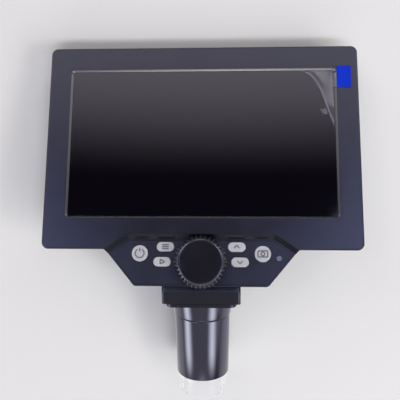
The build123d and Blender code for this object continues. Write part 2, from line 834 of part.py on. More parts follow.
def lens_carriage():
    """The guide ring with an arm, beside the shaft, whose rack meets the pinion."""
    middle = carriage_top - carriage_length / 2
    drive_z = spot_in_row(knob_y, panel_z - pinion_depth)[1]
    half = focus_travel + rack_spare * pinion_module / lean_cos
    face = pinion_radius - rack_tip * pinion_module
    stem = Pos((arm_inner + arm_outer) / 2, arm_y, (middle + drive_z + half) / 2) * Box(
        arm_outer - arm_inner, arm_depth, drive_z + half - middle)
    bar = Pos((face + arm_outer) / 2, arm_y, drive_z) * Box(arm_outer - face, arm_depth, 2 * half)
    return carriage_ring() + stem + bar - rack_gaps(half)


def rack_gaps(half):
    """Tooth spaces parallel to the pinion's axis, so the rack is cut askew to its own travel."""
    slope = math.tan(math.radians(pressure_angle))
    pitch_half = tooth_pitch / 4 + backlash / 2
    out, deep = 1.6 * pinion_module, 1.15 * pinion_module
    tip, root = pinion_radius - out, pinion_radius + deep
    space = Polygon((tip, pitch_half + out * slope), (root, pitch_half - deep * slope),
                    (root, deep * slope - pitch_half), (tip, -pitch_half - out * slope), align=None)
    count = math.ceil(half / tooth_pitch) + 1
    cutter = extrude(space, 2 * pinion_depth, both=True)
    gaps = [Pos(0, knob_y + k * tooth_pitch, -pinion_depth) * cutter for k in range(-count, count + 1)]
    return on_head(Compound(children=gaps))


def lens_barrel():
    high = barrel_low + barrel_length
    body = pin((0, 0), barrel_radius, barrel_low, high)
    body -= pin((0, 0), lens_radius - barrel_stop, barrel_low - over, high + over)
    body -= pin((0, 0), lens_radius + seat_play, barrel_low - over, barrel_low + lens_seat + lens_thick)
    return body - pin((0, 0), lens_radius + seat_play, high - lens_seat - lens_thick, high + over)


def lens(seat):
    """Biconvex disc: a cylinder between two shallow spheres."""
    disc = pin((0, 0), lens_radius, seat, seat + lens_thick)
    return disc & Pos(0, 0, seat + lens_bulge) * Sphere(lens_bulge) & Pos(
        0, 0, seat + lens_thick - lens_bulge) * Sphere(lens_bulge)


def objective_lens():
    return lens(barrel_low + lens_seat)


def rear_lens():
    return lens(barrel_low + barrel_length - lens_seat - lens_thick)


# ---- image sensor -----------------------------------------------------------------------------------
def sensor_board():
    """Sits on four posts of the flange and is notched for the rack arm."""
    high = sensor_z + sensor_board_thick
    board = slab(RectangleRounded(sensor_board_width, sensor_board_length, sensor_board_corner),
                 high, sensor_board_thick)
    front = -sensor_board_length / 2
    notch_back = arm_y + arm_depth / 2 + arm_room
    board -= Pos((arm_inner + arm_outer) / 2, (front + notch_back) / 2, sensor_z) * Box(
        arm_outer - arm_inner + 2 * arm_room, notch_back - front, 4 * sensor_board_thick)
    for spot in sensor_screw_spots:
        board -= pin(spot, screw_hole, sensor_z - over, high + over)
    return board


def sensor_holder_block():
    low = sensor_z - sensor_holder_height
    block = slab(Rectangle(sensor_holder, sensor_holder), sensor_z, sensor_holder_height)
    return block - pin((0, 0), sensor_holder / 2 - sensor_holder_wall, low - over, sensor_z + over)


def image_sensor():
    return slab(Rectangle(sensor_width, sensor_length), sensor_z, sensor_thick)


# ---- electronics ------------------------------------------------------------------------------------
def main_board():
    board = slab(Pos(main_board_x, main_board_y) * Rectangle(main_board_width, main_board_height),
                 main_board_z, main_board_thick)
    for spot in main_screw_spots:
        board -= pin(spot, screw_hole, main_board_z - main_board_thick - over, main_board_z + over)
    return board


def board_chips():
    """Processor with two memories beside it, two coils and a row of capacitors of the supply."""
    processor, memory, coil, capacitor = (14, 14, 1.2), (11, 8, 1.0), (6, 6, 2.4), (5, 4, 1.4)
    chips = [(processor, -12, 6)] + [(memory, 9, y) for y in (-6, 8)]
    chips += [(coil, -30, y) for y in (4, 14)] + [(capacitor, 30, y) for y in (-12, -4, 4)]
    board_middle = Pos(main_board_x, main_board_y, main_board_z)
    return Compound(children=[board_middle * Pos(x, y, size[2] / 2) * Box(*size) for size, x, y in chips])


def socket_box(mouth, y, length, width, height):
    """A box on the main board that reaches from the mouth inwards."""
    x = board_side + mouth + length / 2
    return Pos(x, y, main_board_z + height / 2) * Box(length, width, height)


def charge_socket():
    body = socket_box(socket_sink, socket_y, socket_length, socket_width, socket_height)
    lifted = Pos(0, 0, socket_shell)
    body -= lifted * socket_box(socket_sink - socket_shell, socket_y, socket_length,
                                socket_width - 2 * socket_shell, socket_height - 2 * socket_shell)
    middle = Pos(0, 0, (socket_height - socket_tongue) / 2)
    return body + middle * socket_box(socket_sink + socket_shell, socket_y, socket_length - socket_shell,
                                      socket_width - 2 * tongue_side, socket_tongue)


def card_socket():
    body = socket_box(card_sink, card_y, card_length, card_width, card_height)
    slot = socket_box(card_sink - card_back, card_y, card_length, card_width - 2 * card_shell,
                      card_height - 2 * card_shell)
    return body - Pos(0, 0, card_shell) * slot


def battery_pack():
    cell = RectangleRounded(battery_right - battery_left, battery_height, battery_corner)
    block = slab(Pos(*battery_middle) * cell, board_back + battery_tape + battery_thick, battery_thick)
    return fillet(block.edges().filter_by(Axis.Y), battery_edge)


def battery_pad():
    tape = Rectangle(battery_right - battery_left - 2 * tape_side, battery_height - 2 * tape_end)
    return slab(Pos(*battery_middle) * tape, board_back + battery_tape, battery_tape)


# ---- everything, written one sub-part to a file -------------------------------------------------------
os.makedirs("parts", exist_ok=True)

on_screen_axes = {
    "front_bezel": front_bezel(),
    "control_overlay": control_overlay(),
    "cover_glass": cover_glass(),
    "screen_film": screen_film(),
    "film_pull_tab": film_pull_tab(),
    "lcd_cell": lcd_cell(),
    "backlight_tray": backlight_tray(),
    "key_mat": key_mat(),
    "key_board": key_board(),
    "light_pipe": light_pipe(),
    "focus_knob": focus_knob(),
    "knob_cap": knob_cap(),
    "knob_shaft": knob_shaft(),
    "shaft_bush": shaft_bush(),
    "shaft_clip": shaft_clip(),
    "pinion": pinion(),
    "main_board": main_board(),
    "board_chips": board_chips(),
    "charge_socket": charge_socket(),
    "card_socket": card_socket(),
    "battery_pack": battery_pack(),
    "battery_pad": battery_pad(),
    "cover_screws": screws(cover_screw_spots, cover_seat, thread_reach - split_depth - cover_seat, 1),
    "chin_screws": screws(chin_screw_spots, chin_seat,
                          thread_reach - chin_thread_spare - split_depth - chin_seat, 1),
    "key_screws": screws(key_screw_spots, key_board_z - key_board_thick, key_screw_length, 1),
    "main_screws": screws(main_screw_spots, main_board_z, main_screw_length, -1),
    "neck_screws": screws(neck_screw_spots, board_back, wall + neck_thread, -1),
    "neck_low_screws": screws(neck_low_spots, wall - chin_depth, wall + neck_thread, -1),
}
for name, (kind, x, y) in buttons.items():
    on_screen_axes[name] = Pos(x, y) * button(kind)
for name, shape in on_screen_axes.items():
    save(name, on_head(shape))

on_tube_axes = {
    "rear_cover": rear_cover(),
    "neck_housing": neck_housing(),
    "neck_flange": neck_flange(),
    "clamp_collar": clamp_collar(),
    "lens_tube": lens_tube(),
    "clear_hood": clear_hood(),
    "led_ring_board": led_ring_board(),
    "light_chips": light_chips(),
    "lens_carriage": lens_carriage(),
    "lens_barrel": lens_barrel(),
    "objective_lens": objective_lens(),
    "rear_lens": rear_lens(),
    "sensor_board": sensor_board(),
    "sensor_holder_block": sensor_holder_block(),
    "image_sensor": image_sensor(),
    "flange_screws": screws(flange_screw_spots, collar_top, flange_thick + flange_thread, 1),
    "sensor_screws": screws(sensor_screw_spots, sensor_z + sensor_board_thick, sensor_screw_length, -1),
}
for name, shape in on_tube_axes.items():
    save(name, shape)
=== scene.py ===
import json
import math

import bpy
import numpy as np
from mathutils import Matrix, Vector


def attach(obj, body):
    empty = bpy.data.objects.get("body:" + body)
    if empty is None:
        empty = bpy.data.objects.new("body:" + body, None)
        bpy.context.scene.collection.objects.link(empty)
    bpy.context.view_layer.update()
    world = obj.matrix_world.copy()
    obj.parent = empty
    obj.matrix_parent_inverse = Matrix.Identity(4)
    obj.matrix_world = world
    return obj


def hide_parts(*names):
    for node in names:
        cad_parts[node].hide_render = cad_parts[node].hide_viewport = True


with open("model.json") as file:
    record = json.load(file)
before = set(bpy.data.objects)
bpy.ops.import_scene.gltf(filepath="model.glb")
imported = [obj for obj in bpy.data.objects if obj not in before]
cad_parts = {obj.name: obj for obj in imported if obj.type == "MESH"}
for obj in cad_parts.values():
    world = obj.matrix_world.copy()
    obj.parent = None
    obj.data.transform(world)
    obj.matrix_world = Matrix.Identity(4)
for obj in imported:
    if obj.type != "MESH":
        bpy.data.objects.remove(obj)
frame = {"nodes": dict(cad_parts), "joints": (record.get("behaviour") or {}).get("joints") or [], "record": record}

scene = bpy.context.scene
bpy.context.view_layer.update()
mm = 0.001

# The head's own axes: x right, up the screen, out of the screen, from the housing's lower front edge
head = dict(knobBelowFoot=7.0 * mm, panelRecess=3.0 * mm, buttonProud=1.1 * mm)
focusJoint = next(joint for joint in frame["joints"] if joint["name"] == "focus_turn")
outward = Vector(focusJoint["axis"]).normalized()
rightward = Vector((1, 0, 0))
upward = outward.cross(rightward)
headFoot = Vector(focusJoint["pos_m"]) + upward * head["knobBelowFoot"] + outward * head["panelRecess"]
headMatrix = Matrix((rightward, upward, outward)).transposed().to_4x4()
headMatrix.translation = headFoot

window = dict(width=154.5 * mm, height=87.0 * mm, foot=19.1 * mm, glass=-1.4 * mm)
window["middle"] = window["foot"] + window["height"] / 2


def onHead(x, up, out):
    # a point or a whole grid of points, from the head's axes to the row frame
    x, up, out = np.broadcast_arrays(x, up, out)
    flat = np.stack((x, up, out), axis=-1).reshape(-1, 3)
    turned = flat @ np.array(headMatrix.to_3x3()).T + np.array(headFoot)
    return turned.reshape(x.shape + (3,))


print("frame loaded, head axes found")


def meshObject(name, points, faces, material, smooth=True):
    mesh = bpy.data.meshes.new(name)
    mesh.from_pydata(np.asarray(points, float).reshape(-1, 3).tolist(), [], np.asarray(faces).tolist())
    mesh.polygons.foreach_set("use_smooth", np.full(len(mesh.polygons), smooth))
    mesh.materials.append(material)
    piece = bpy.data.objects.new(name, mesh)
    scene.collection.objects.link(piece)
    return piece


def gridFaces(rows, columns, wrap=False):
    # quads between neighbours of a rows x columns grid; wrap joins the last column to the first
    across = columns if wrap else columns - 1
    i, j = np.meshgrid(np.arange(rows - 1), np.arange(across), indexing="ij")
    a, b = i * columns + j, i * columns + (j + 1) % columns
    return np.stack((a, b, b + columns, a + columns), axis=-1).reshape(-1, 4)


def ringFaces(rows, around):
    # quads between rings of points, with the last ring joined to the first
    return gridFaces(rows + 1, around, wrap=True) % (rows * around)


def closedSheet(upper, lower):
    # points and faces of a sheet between two equal grids, closed round all four edges
    rows, columns = upper.shape[:2]
    points = np.concatenate((upper, lower[:, ::-1]), axis=1)
    around = 2 * columns
    j = np.arange(columns - 1)
    start = np.stack((j, around - 1 - j, around - 2 - j, j + 1), axis=-1)
    end = start[:, ::-1] + (rows - 1) * around
    return points.reshape(-1, 3), np.concatenate((gridFaces(rows, around, wrap=True), start, end))


def joined(parts):
    # several (points, faces) pairs as one, with their faces renumbered
    starts = np.cumsum([0] + [len(points) for points, _ in parts[:-1]])
    return (np.concatenate([points for points, _ in parts]),
            np.concatenate([faces + start for (_, faces), start in zip(parts, starts)]))


def smoothStep(low, high, value):
    share = np.clip((value - low) / (high - low), 0, 1)
    return share * share * (3 - 2 * share)


def lathe(name, profile, material, steps=192):
    # each profile point (radius, height) goes once round the optical axis; the profile is a closed loop
    profile = np.asarray(profile, float)
    angle = np.linspace(0, 2 * np.pi, steps, endpoint=False)
    points = np.stack((profile[:, :1] * np.cos(angle), profile[:, :1] * np.sin(angle),
                       profile[:, 1:] * np.ones(steps)), axis=-1)
    return meshObject(name, points, ringFaces(len(profile), steps), material)


def roundCorner(before, corner, after, radius, steps=5):
    # points of an arc that replaces a profile's corner, tangent to both of its sides
    before, corner, after = (np.asarray(p, float) for p in (before, corner, after))
    inWay = (before - corner) / np.linalg.norm(before - corner)
    outWay = (after - corner) / np.linalg.norm(after - corner)
    half = math.acos(np.clip(np.dot(inWay, outWay), -1, 1)) / 2
    back = radius / math.tan(half)
    centre = corner + (inWay + outWay) / np.linalg.norm(inWay + outWay) * radius / math.sin(half)
    start, end = corner + inWay * back - centre, corner + outWay * back - centre
    turn = math.acos(np.clip(np.dot(start, end) / radius ** 2, -1, 1))
    share = np.linspace(0, 1, steps)[:, None]
    return centre + (np.sin((1 - share) * turn) * start + np.sin(share * turn) * end) / math.sin(turn)


def softProfile(corners):
    # a closed profile whose corners are (radius, height, rounding)
    points = []
    for i, (r, z, rounding) in enumerate(corners):
        before, after = corners[i - 1][:2], corners[(i + 1) % len(corners)][:2]
        if rounding:
            points.extend(roundCorner(before, (r, z), after, rounding))
        else:
            points.append((r, z))
    return np.array(points) * mm


bodyOf = {node: body for body, nodes in frame["record"]["behaviour"]["bodies"].items() for node in nodes}


def toLinear(hexColour):
    # sRGB hex to linear light
    channels = [int(hexColour[i:i + 2], 16) / 255 for i in (1, 3, 5)]
    return tuple(c / 12.92 if c <= 0.04045 else ((c + 0.055) / 1.055) ** 2.4 for c in channels) + (1.0,)


def addNode(tree, kind, settings=None, links=None):
    # one node with its settings (sockets by name or number, else attributes) and its incoming links
    node = tree.nodes.new(kind)
    for key, value in (settings or {}).items():
        if isinstance(key, int) or key in node.inputs:
            node.inputs[key].default_value = value
        else:
            setattr(node, key, value)
    for key, source in (links or {}).items():
        tree.links.new(source, node.inputs[key])
    return node


def newMaterial(name):
    material = bpy.data.materials.new(name)
    material.use_nodes = True
    material.node_tree.nodes.clear()
    return material, material.node_tree


def finishMaterial(tree, shader):
    output = addNode(tree, "ShaderNodeOutputMaterial")
    tree.links.new(shader, output.inputs["Surface"])


def mouldedSurface(name, light, dark, roughness, grain, depth, metallic=0.0, ior=1.46, coat=0.0,
                   coatRoughness=0.1, mottle=12 * mm, spread=0.06, transmission=0.0, extra=None):
    # colour = dark to light and roughness +- spread by one slow noise, height = depth x fine noise;
    # grain and mottle are the sizes of the fine and the slow noise in metres
    material, tree = newMaterial(name)
    place = addNode(tree, "ShaderNodeTexCoord").outputs["Object"]
    slow = addNode(tree, "ShaderNodeTexNoise", {"Scale": 1 / mottle, "Detail": 3.0}, {"Vector": place})
    fine = addNode(tree, "ShaderNodeTexNoise", {"Scale": 1 / grain, "Detail": 2.0, "Roughness": 0.6},
                   {"Vector": place})
    colour = addNode(tree, "ShaderNodeMix", {"data_type": "RGBA"}, {0: slow.outputs["Fac"]})
    colour.inputs[6].default_value = toLinear(dark)
    colour.inputs[7].default_value = toLinear(light)
    # the noise seldom leaves 0.3 to 0.7
    rough = addNode(tree, "ShaderNodeMapRange",
                    {"From Min": 0.3, "From Max": 0.7,
                     "To Min": roughness - spread, "To Max": roughness + spread},
                    {"Value": slow.outputs["Fac"]})
    bump = addNode(tree, "ShaderNodeBump", {"Strength": 1.0, "Distance": depth},
                   {"Height": fine.outputs["Fac"]})
    shader = addNode(tree, "ShaderNodeBsdfPrincipled",
                     {"Metallic": metallic, "IOR": ior, "Coat Weight": coat, "Coat Roughness": coatRoughness,
                      "Transmission Weight": transmission, **(extra or {})},
                     {"Base Color": colour.outputs[2], "Roughness": rough.outputs["Result"],
                      "Normal": bump.outputs["Normal"]})
    finishMaterial(tree, shader.outputs["BSDF"])
    return material


# Painted reflection colour: the black plastics reflect a little more blue than red, a tint that stands in for the
# bluish room light they reflect
paintedBlueReflectionTint = {"Specular Tint": toLinear("#e2e2ff")}
# ABS with a fine spark-eroded texture from the mould: soft sheen, no clear reflection.
# The real grain is about 0.1 mm; drawn at 0.5 mm so that it shows.
housingAbs = mouldedSurface("texturedBlackAbs", "#131216", "#0e0d11", 0.25, 0.5 * mm, 0.006 * mm, spread=0.02,
                            ior=1.52, extra=paintedBlueReflectionTint)
# The key panel's plate: the same ABS from a smoother mould
overlayAbs = mouldedSurface("satinBlackAbs", "#131217", "#0f0e12", 0.3, 0.7 * mm, 0.005 * mm, spread=0.03,
                            ior=1.52, extra=paintedBlueReflectionTint)
# Neck and flange: the same ABS from a polished mould, with a base colour a little darker than the housing's as
# painted shade
neckAbs = mouldedSurface("polishedBlackAbs", "#100f13", "#0c0b0e", 0.24, 0.5 * mm, 0.004 * mm, spread=0.03,
                         ior=1.56, extra=paintedBlueReflectionTint)
# Knob: ABS from a polished mould, with sharp glints on its teeth and rim
knobAbs = mouldedSurface("knobBlackAbs", "#1a191d", "#151418", 0.12, 0.6 * mm, 0.002 * mm, spread=0.02,
                         ior=1.9, extra=paintedBlueReflectionTint)
# Tube: black ABS under high-gloss lacquer, sharp reflections with a faint orange peel of 3 mm waves; the blue
# specular tint is painted, standing in for the bluish room light
tubeLacquer = mouldedSurface("blackGlossLacquer", "#10101a", "#0d0d16", 0.11, 3.0 * mm, 0.006 * mm,
                             spread=0.02, ior=2.0, extra={"Specular Tint": toLinear("#e4e4ff")})
# Key caps: silver-grey paint on moulded caps, matt with a slight metal flake
keyPaint = mouldedSurface("silverGreyPaint", "#bababc", "#aeaeb1", 0.38, 0.3 * mm, 0.004 * mm, metallic=0.15)
# Marks of the keys: grey pad-printed ink, matt
keyInk = mouldedSurface("greyPadInk", "#6a6a70", "#5e5e64", 0.5, 0.3 * mm, 0.002 * mm)
# Indicator: milky clear acrylic
indicatorAcrylic = mouldedSurface("milkyAcrylic", "#727a8e", "#666e82", 0.22, 2 * mm, 0.002 * mm, ior=1.49,
                                  transmission=0.3)
# Lip of the window: ABS from a polished mould, with a base colour lighter than the housing's; its light line round
# the glass is partly reflection and partly painted highlight from that lighter colour
lipPaintedHighlightAbs = mouldedSurface("polishedLipPaintedHighlightAbs", "#201e28", "#1b1a22", 0.2, 0.5 * mm, 0.003 * mm, spread=0.02,
                             ior=1.88)
# Screws in view are blackened steel, matt; the ones inside are zinc plated, bright
blackSteel = mouldedSurface("blackenedSteel", "#101012", "#0b0b0d", 0.45, 0.4 * mm, 0.006 * mm, metallic=0.2)
zincSteel = mouldedSurface("zincPlatedSteel", "#b8b8ba", "#98989c", 0.3, 0.4 * mm, 0.006 * mm, metallic=1.0,
                           ior=1.5)
# Inside, out of sight but for the ring board and the lenses: turned and anodised metals with a broad sheen,
# dull acetal, epoxy and foam, a crinkled foil pouch, and green solder mask over copper
turnedBrass = mouldedSurface("turnedBrass", "#c9a55c", "#b08f4a", 0.26, 0.3 * mm, 0.004 * mm, metallic=1.0,
                             ior=1.5)
blackAnodised = mouldedSurface("blackAnodisedAluminium", "#1b1b1d", "#141416", 0.38, 0.3 * mm, 0.003 * mm,
                               metallic=0.8, ior=1.5)
acetal = mouldedSurface("blackAcetal", "#202022", "#18181a", 0.35, 0.8 * mm, 0.004 * mm)
epoxyChip = mouldedSurface("mouldedEpoxy", "#1d1d1f", "#161618", 0.55, 0.3 * mm, 0.006 * mm)
phosphorCap = mouldedSurface("yellowPhosphor", "#e8d77a", "#dcc860", 0.4, 0.5 * mm, 0.005 * mm, coat=0.6)
foilPouch = mouldedSurface("laminatedFoilPouch", "#a9acb0", "#8f9296", 0.34, 2.5 * mm, 0.05 * mm,
                           metallic=0.9, ior=1.5)
blackFoam = mouldedSurface("closedCellFoam", "#1c1c1c", "#121212", 0.85, 0.7 * mm, 0.08 * mm)
greySilicone = mouldedSurface("greySilicone", "#6a6a6e", "#5c5c60", 0.6, 0.8 * mm, 0.01 * mm)
whiteTray = mouldedSurface("whitePolycarbonate", "#d8d8d4", "#ccccc8", 0.5, 1.0 * mm, 0.008 * mm)
solderMask = mouldedSurface("greenSolderMask", "#14532d", "#0f4224", 0.32, 1.2 * mm, 0.02 * mm, coat=0.4,
                            mottle=3 * mm)
# Blue release tab: printed polyester, even colour, smooth
tabFilm = mouldedSurface("bluePrintedPolyester", "#0b33c8", "#092fbc", 0.4, 4 * mm, 0.01 * mm, ior=1.2)
# Switched-off LCD: neutral black behind its polariser
lcdPolariser = mouldedSurface("darkPolariser", "#050507", "#040406", 0.1, 2 * mm, 0.0, spread=0.02, ior=1.4)
# Cover glass: bonded to the dark panel, so it shows only the reflection of its front; the faint violet specular
# tint of that reflection is painted, standing in for the colour of the room light
coverGlass = mouldedSurface("bondedFloatGlass", "#070609", "#060508", 0.05, 40 * mm, 0.0, ior=1.5,
                            spread=0.005, extra={"Specular Tint": toLinear("#f4eeff")})
# Lenses: polished and coated, clear with a faint blue
lensGlass = mouldedSurface("coatedLensGlass", "#eef4ff", "#e6ecfa", 0.02, 10 * mm, 0.0005 * mm, ior=1.52,
                           transmission=1.0, spread=0.005)
# Film: clear polyester with ripples 9 mm wide; most of a loose sheet is seen, and none of it where it clings; its
# faint violet sheen tint is painted, standing in for the colour of the room light
filmLook = dict(seen=0.7, wave=9 * mm, detail=1.0, depth=0.05 * mm, roughness=0.06, ior=1.5, clear=0.97,
                colour="#fdfdff", sheen="#f2ecff")
# Hood: thin clear polycarbonate with faint flow marks 5 mm wide, mostly drawn as plain see-through
hoodLook = dict(seen=0.35, wave=5 * mm, detail=2.0, depth=0.01 * mm, roughness=0.12, ior=1.28, clear=1.0,
                colour="#f6f7fb", sheen="#ffffff")


def thinClear(name, look, attribute=None):
    # plain see-through and clear plastic, mixed by seen, or by seen x the attribute of that name
    material, tree = newMaterial(name)
    place = addNode(tree, "ShaderNodeTexCoord").outputs["Object"]
    wave = addNode(tree, "ShaderNodeTexNoise", {"Scale": 1 / look["wave"], "Detail": look["detail"]},
                   {"Vector": place})
    bump = addNode(tree, "ShaderNodeBump", {"Distance": look["depth"]}, {"Height": wave.outputs["Fac"]})
    plastic = addNode(tree, "ShaderNodeBsdfPrincipled",
                      {"Base Color": toLinear(look["colour"]), "Specular Tint": toLinear(look["sheen"]),
                       "Roughness": look["roughness"], "IOR": look["ior"],
                       "Transmission Weight": look["clear"]},
                      {"Normal": bump.outputs["Normal"]})
    through = addNode(tree, "ShaderNodeBsdfTransparent")
    mixed = addNode(tree, "ShaderNodeMixShader", {0: look["seen"]},
                    {1: through.outputs[0], 2: plastic.outputs[0]})
    if attribute:
        local = addNode(tree, "ShaderNodeAttribute", {"attribute_name": attribute})
        share = addNode(tree, "ShaderNodeMath", {"operation": "MULTIPLY", 1: look["seen"]},
                        {0: local.outputs["Fac"]})
        tree.links.new(share.outputs[0], mixed.inputs[0])
    finishMaterial(tree, mixed.outputs[0])
    return material


filmPet = thinClear("clearPolyester", filmLook, "lifted")
hoodPc = thinClear("clearPolycarbonate", hoodLook)
# The tab's strip is the same polyester as the film, a little hazier
stripPet = mouldedSurface("hazyPolyester", "#f8f9fc", "#f2f4fa", 0.06, 6 * mm, 0.003 * mm, ior=1.25,
                          transmission=1.0, spread=0.01)

# Materials and their CAD nodes; the screws and keys follow by their names
given = (
    (housingAbs, "front_bezel rear_cover"), (neckAbs, "neck_housing neck_flange"),
    (overlayAbs, "control_overlay"), (coverGlass, "cover_glass"), (filmPet, "screen_film"),
    (tabFilm, "film_pull_tab"),
    (lcdPolariser, "lcd_cell image_sensor"), (whiteTray, "backlight_tray"), (greySilicone, "key_mat"),
    (solderMask, "key_board main_board led_ring_board sensor_board"), (indicatorAcrylic, "light_pipe"),
    (knobAbs, "focus_knob knob_cap"), (zincSteel, "knob_shaft shaft_clip charge_socket card_socket"),
    (turnedBrass, "shaft_bush pinion"), (epoxyChip, "board_chips sensor_holder_block"),
    (foilPouch, "battery_pack"), (blackFoam, "battery_pad"), (tubeLacquer, "clamp_collar lens_tube"),
    (hoodPc, "clear_hood"), (phosphorCap, "light_chips"), (acetal, "lens_carriage"),
    (blackAnodised, "lens_barrel"), (lensGlass, "objective_lens rear_lens"),
    (blackSteel, "cover_screws chin_screws flange_screws"))
nodeMaterials = {nodeName: material for material, nodeNames in given for nodeName in nodeNames.split()}
for nodeName, node in frame["nodes"].items():
    if nodeName not in nodeMaterials:
        nodeMaterials[nodeName] = keyPaint if nodeName.startswith("button_") else zincSteel
    node.data.materials.clear()
    node.data.materials.append(nodeMaterials[nodeName])
print("materials made and given to", len(frame["nodes"]), "nodes")

# Camera: its place in the head's axes, and its turn in degrees
camera = dict(lens=49.5, sensor=36.0, near=0.01, far=20, x=13.63 * mm, up=-23.09 * mm, out=308.87 * mm,
              azimuth=2.70, elevation=13.54, roll=-0.53)


def makeCamera():
    # back, the way to the camera = cos(elevation) x (sin, -cos of the azimuth), and sin(elevation) up
    place = Vector(onHead(camera["x"], camera["up"], camera["out"]))
    azimuth, elevation = math.radians(camera["azimuth"]), math.radians(camera["elevation"])
    back = Vector((math.sin(azimuth) * math.cos(elevation), -math.cos(azimuth) * math.cos(elevation),
                   math.sin(elevation)))
    data = bpy.data.cameras.new("viewer")
    data.lens = camera["lens"]
    data.sensor_width = camera["sensor"]
    data.clip_start, data.clip_end = camera["near"], camera["far"]
    viewer = bpy.data.objects.new("viewer", data)
    roll = Matrix.Rotation(math.radians(camera["roll"]), 3, "Z")
    turn = (-back).to_track_quat("-Z", "Y").to_matrix() @ roll
    viewer.matrix_world = Matrix.Translation(place) @ turn.to_4x4()
    scene.collection.objects.link(viewer)
    scene.camera = viewer


makeCamera()

# The tube's sizes in millimetres; the collar's come from the stand's mount
seat = next(mount for mount in frame["record"]["mounts"] if mount["name"] == "stand_clamp_seat")["dims"]
tube = dict(collarRadius=seat["r_mm"], collarHalf=seat["length_mm"] / 2, collarGap=0.02, collarTop=0.3,
            collarFoot=0.5, collarInside=0.1, spigot=15.6, groove=0.5, topRadius=16.5, endRadius=15.9,
            length=38.3, bore=14.2, endBore=14.6, mouth=0.3, step=7.5, flange=2.4, edge=0.45, inside=0.2)
hood = dict(grip=6.0, reach=11.7, straight=0.2, gripRadius=14.54, endRadius=14.1, wall=1.2, rim=0.3,
            bead=0.35, beadTop=1.6, beadFoot=1.2, beadEdge=0.1)


def makeTube():
    # three closed profiles (radius, height, rounding), each turned round the optical axis
    top = -tube["collarHalf"] - tube["groove"]
    end = top - tube["length"]
    inFlange = tube["collarHalf"] + tube["flange"]
    body = lathe("lensTubeSkin", softProfile((
        (tube["bore"], inFlange, tube["inside"]), (tube["spigot"], inFlange, tube["inside"]),
        (tube["spigot"], top, 0), (tube["topRadius"], top, tube["edge"]),
        (tube["endRadius"], end, tube["edge"]), (tube["endBore"], end, tube["mouth"]),
        (tube["endBore"], end + tube["step"], 0),
        (tube["bore"], end + tube["step"], tube["inside"]))), tubeLacquer)
    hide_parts("lens_tube")
    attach(body, "head")
    inner = tube["spigot"] + tube["collarGap"]
    collar = lathe("clampCollarSkin", softProfile((
        (inner, tube["collarHalf"], 0), (tube["collarRadius"], tube["collarHalf"], tube["collarTop"]),
        (tube["collarRadius"], -tube["collarHalf"], tube["collarFoot"]),
        (inner, -tube["collarHalf"], tube["collarInside"]))), tubeLacquer)
    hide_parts("clamp_collar")
    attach(collar, "head")
    gripTop = end + hood["grip"]
    low = end - hood["reach"]
    beadRadius = hood["endRadius"] + hood["bead"]
    clear = lathe("clearHoodSkin", softProfile((
        (hood["gripRadius"] - hood["wall"], gripTop, hood["rim"]), (hood["gripRadius"], gripTop, hood["rim"]),
        (hood["gripRadius"], end - hood["straight"], 0), (hood["endRadius"], low + hood["beadTop"], 0),
        (beadRadius, low + hood["beadFoot"], hood["beadEdge"]), (beadRadius, low, hood["rim"]),
        (hood["endRadius"] - hood["wall"], low, hood["rim"]))), hoodPc)
    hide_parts("clear_hood")
    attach(clear, "hood")


makeTube()
print("tube, collar and hood turned")

# Neck block and flange, in millimetres of the row frame; the underside of the head bounds the neck's top.
# under = (y, z) along that underside, a little inside the head
neck = dict(halfWidth=22.5, front=-18.9, back=19.6, corner=1.7, wall=2.4, innerBack=12.8, innerCorner=0.4,
            low=tube["collarHalf"] + tube["flange"], shoulder=14.8, slope=0.6, rounding=1.3, blend=(1.0, 5.0),
            levels=30, sharp=35,
            under=((-19.6, 18.9), (-6.7, 13.6), (1.2, 32.3), (7.7, 29.6), (13.2, 41.9), (19.6, 33.7)))
flange = dict(halfWidth=20.2, halfDepth=18.5, corner=4.0, foot=0.15, edge=0.9, edgeSteps=8, holeGap=0.05,
              sharp=35)
# its countersunk screws: top and foot of the cone, socket, and how far in from the plate's sides they stand
flangeScrew = dict(inset=3.2, neckRadius=0.7, neckHeight=1.5, radius=2.1, coneFoot=0.1, proud=0.03,
                   socketMouth=1.3, socketFloor=1.1, socketDepth=0.5, centre=0.01, steps=32)


def roundedRing(halfX, low, high, corner, sideSteps=24, cornerSteps=9):
    # points (x, y) once round a rectangle from low to high, with rounded corners
    turn = np.linspace(0, np.pi / 2, cornerSteps)
    x, y = [], []
    for quarter in range(4):
        signX = 1 if quarter in (0, 3) else -1
        middleY = high - corner if quarter < 2 else low + corner
        x.append(signX * (halfX - corner) + corner * np.cos(turn + quarter * np.pi / 2))
        y.append(middleY + corner * np.sin(turn + quarter * np.pi / 2))
    x.append(x[0][:1])
    y.append(y[0][:1])
    ring = []
    for k in range(4):
        ring.append(np.stack((x[k], y[k]), axis=-1))
        start, end = ring[-1][-1], np.array((x[k + 1][0], y[k + 1][0]))
        ring.append(start + (end - start) * np.linspace(0, 1, sideSteps)[1:-1, None])
    return np.concatenate(ring)


def makeNeck():
    # z = low + share x (underside - low); the front leans back above its shoulder, y = slope x soft ramp
    under = np.array(neck["under"])
    levels = np.linspace(0, 1, neck["levels"])[:, None]

    def wall(inset, back, corner):
        ring = roundedRing(neck["halfWidth"] - inset, neck["front"] + inset, back, corner)
        z = neck["low"] + levels * (np.interp(ring[:, 1], under[:, 0], under[:, 1]) - neck["low"])
        over = z - neck["shoulder"]
        ramp = (np.sqrt(over ** 2 + neck["rounding"] ** 2) + over) / 2
        atFront = 1 - smoothStep(*neck["blend"], ring[:, 1] - neck["front"])
        return np.stack((ring[:, 0] + 0 * z, ring[:, 1] + neck["slope"] * ramp * atFront, z), axis=-1)

    outer = wall(0, neck["back"], neck["corner"])
    inner = wall(neck["wall"], neck["innerBack"], neck["innerCorner"])
    points = np.concatenate((outer, inner[::-1]))
    body = meshObject("neckSkin", points * mm, ringFaces(*points.shape[:2]), neckAbs)
    body.data.shade_smooth()
    body.data.set_sharp_from_angle(angle=math.radians(neck["sharp"]))
    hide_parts("neck_housing")
    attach(body, "head")


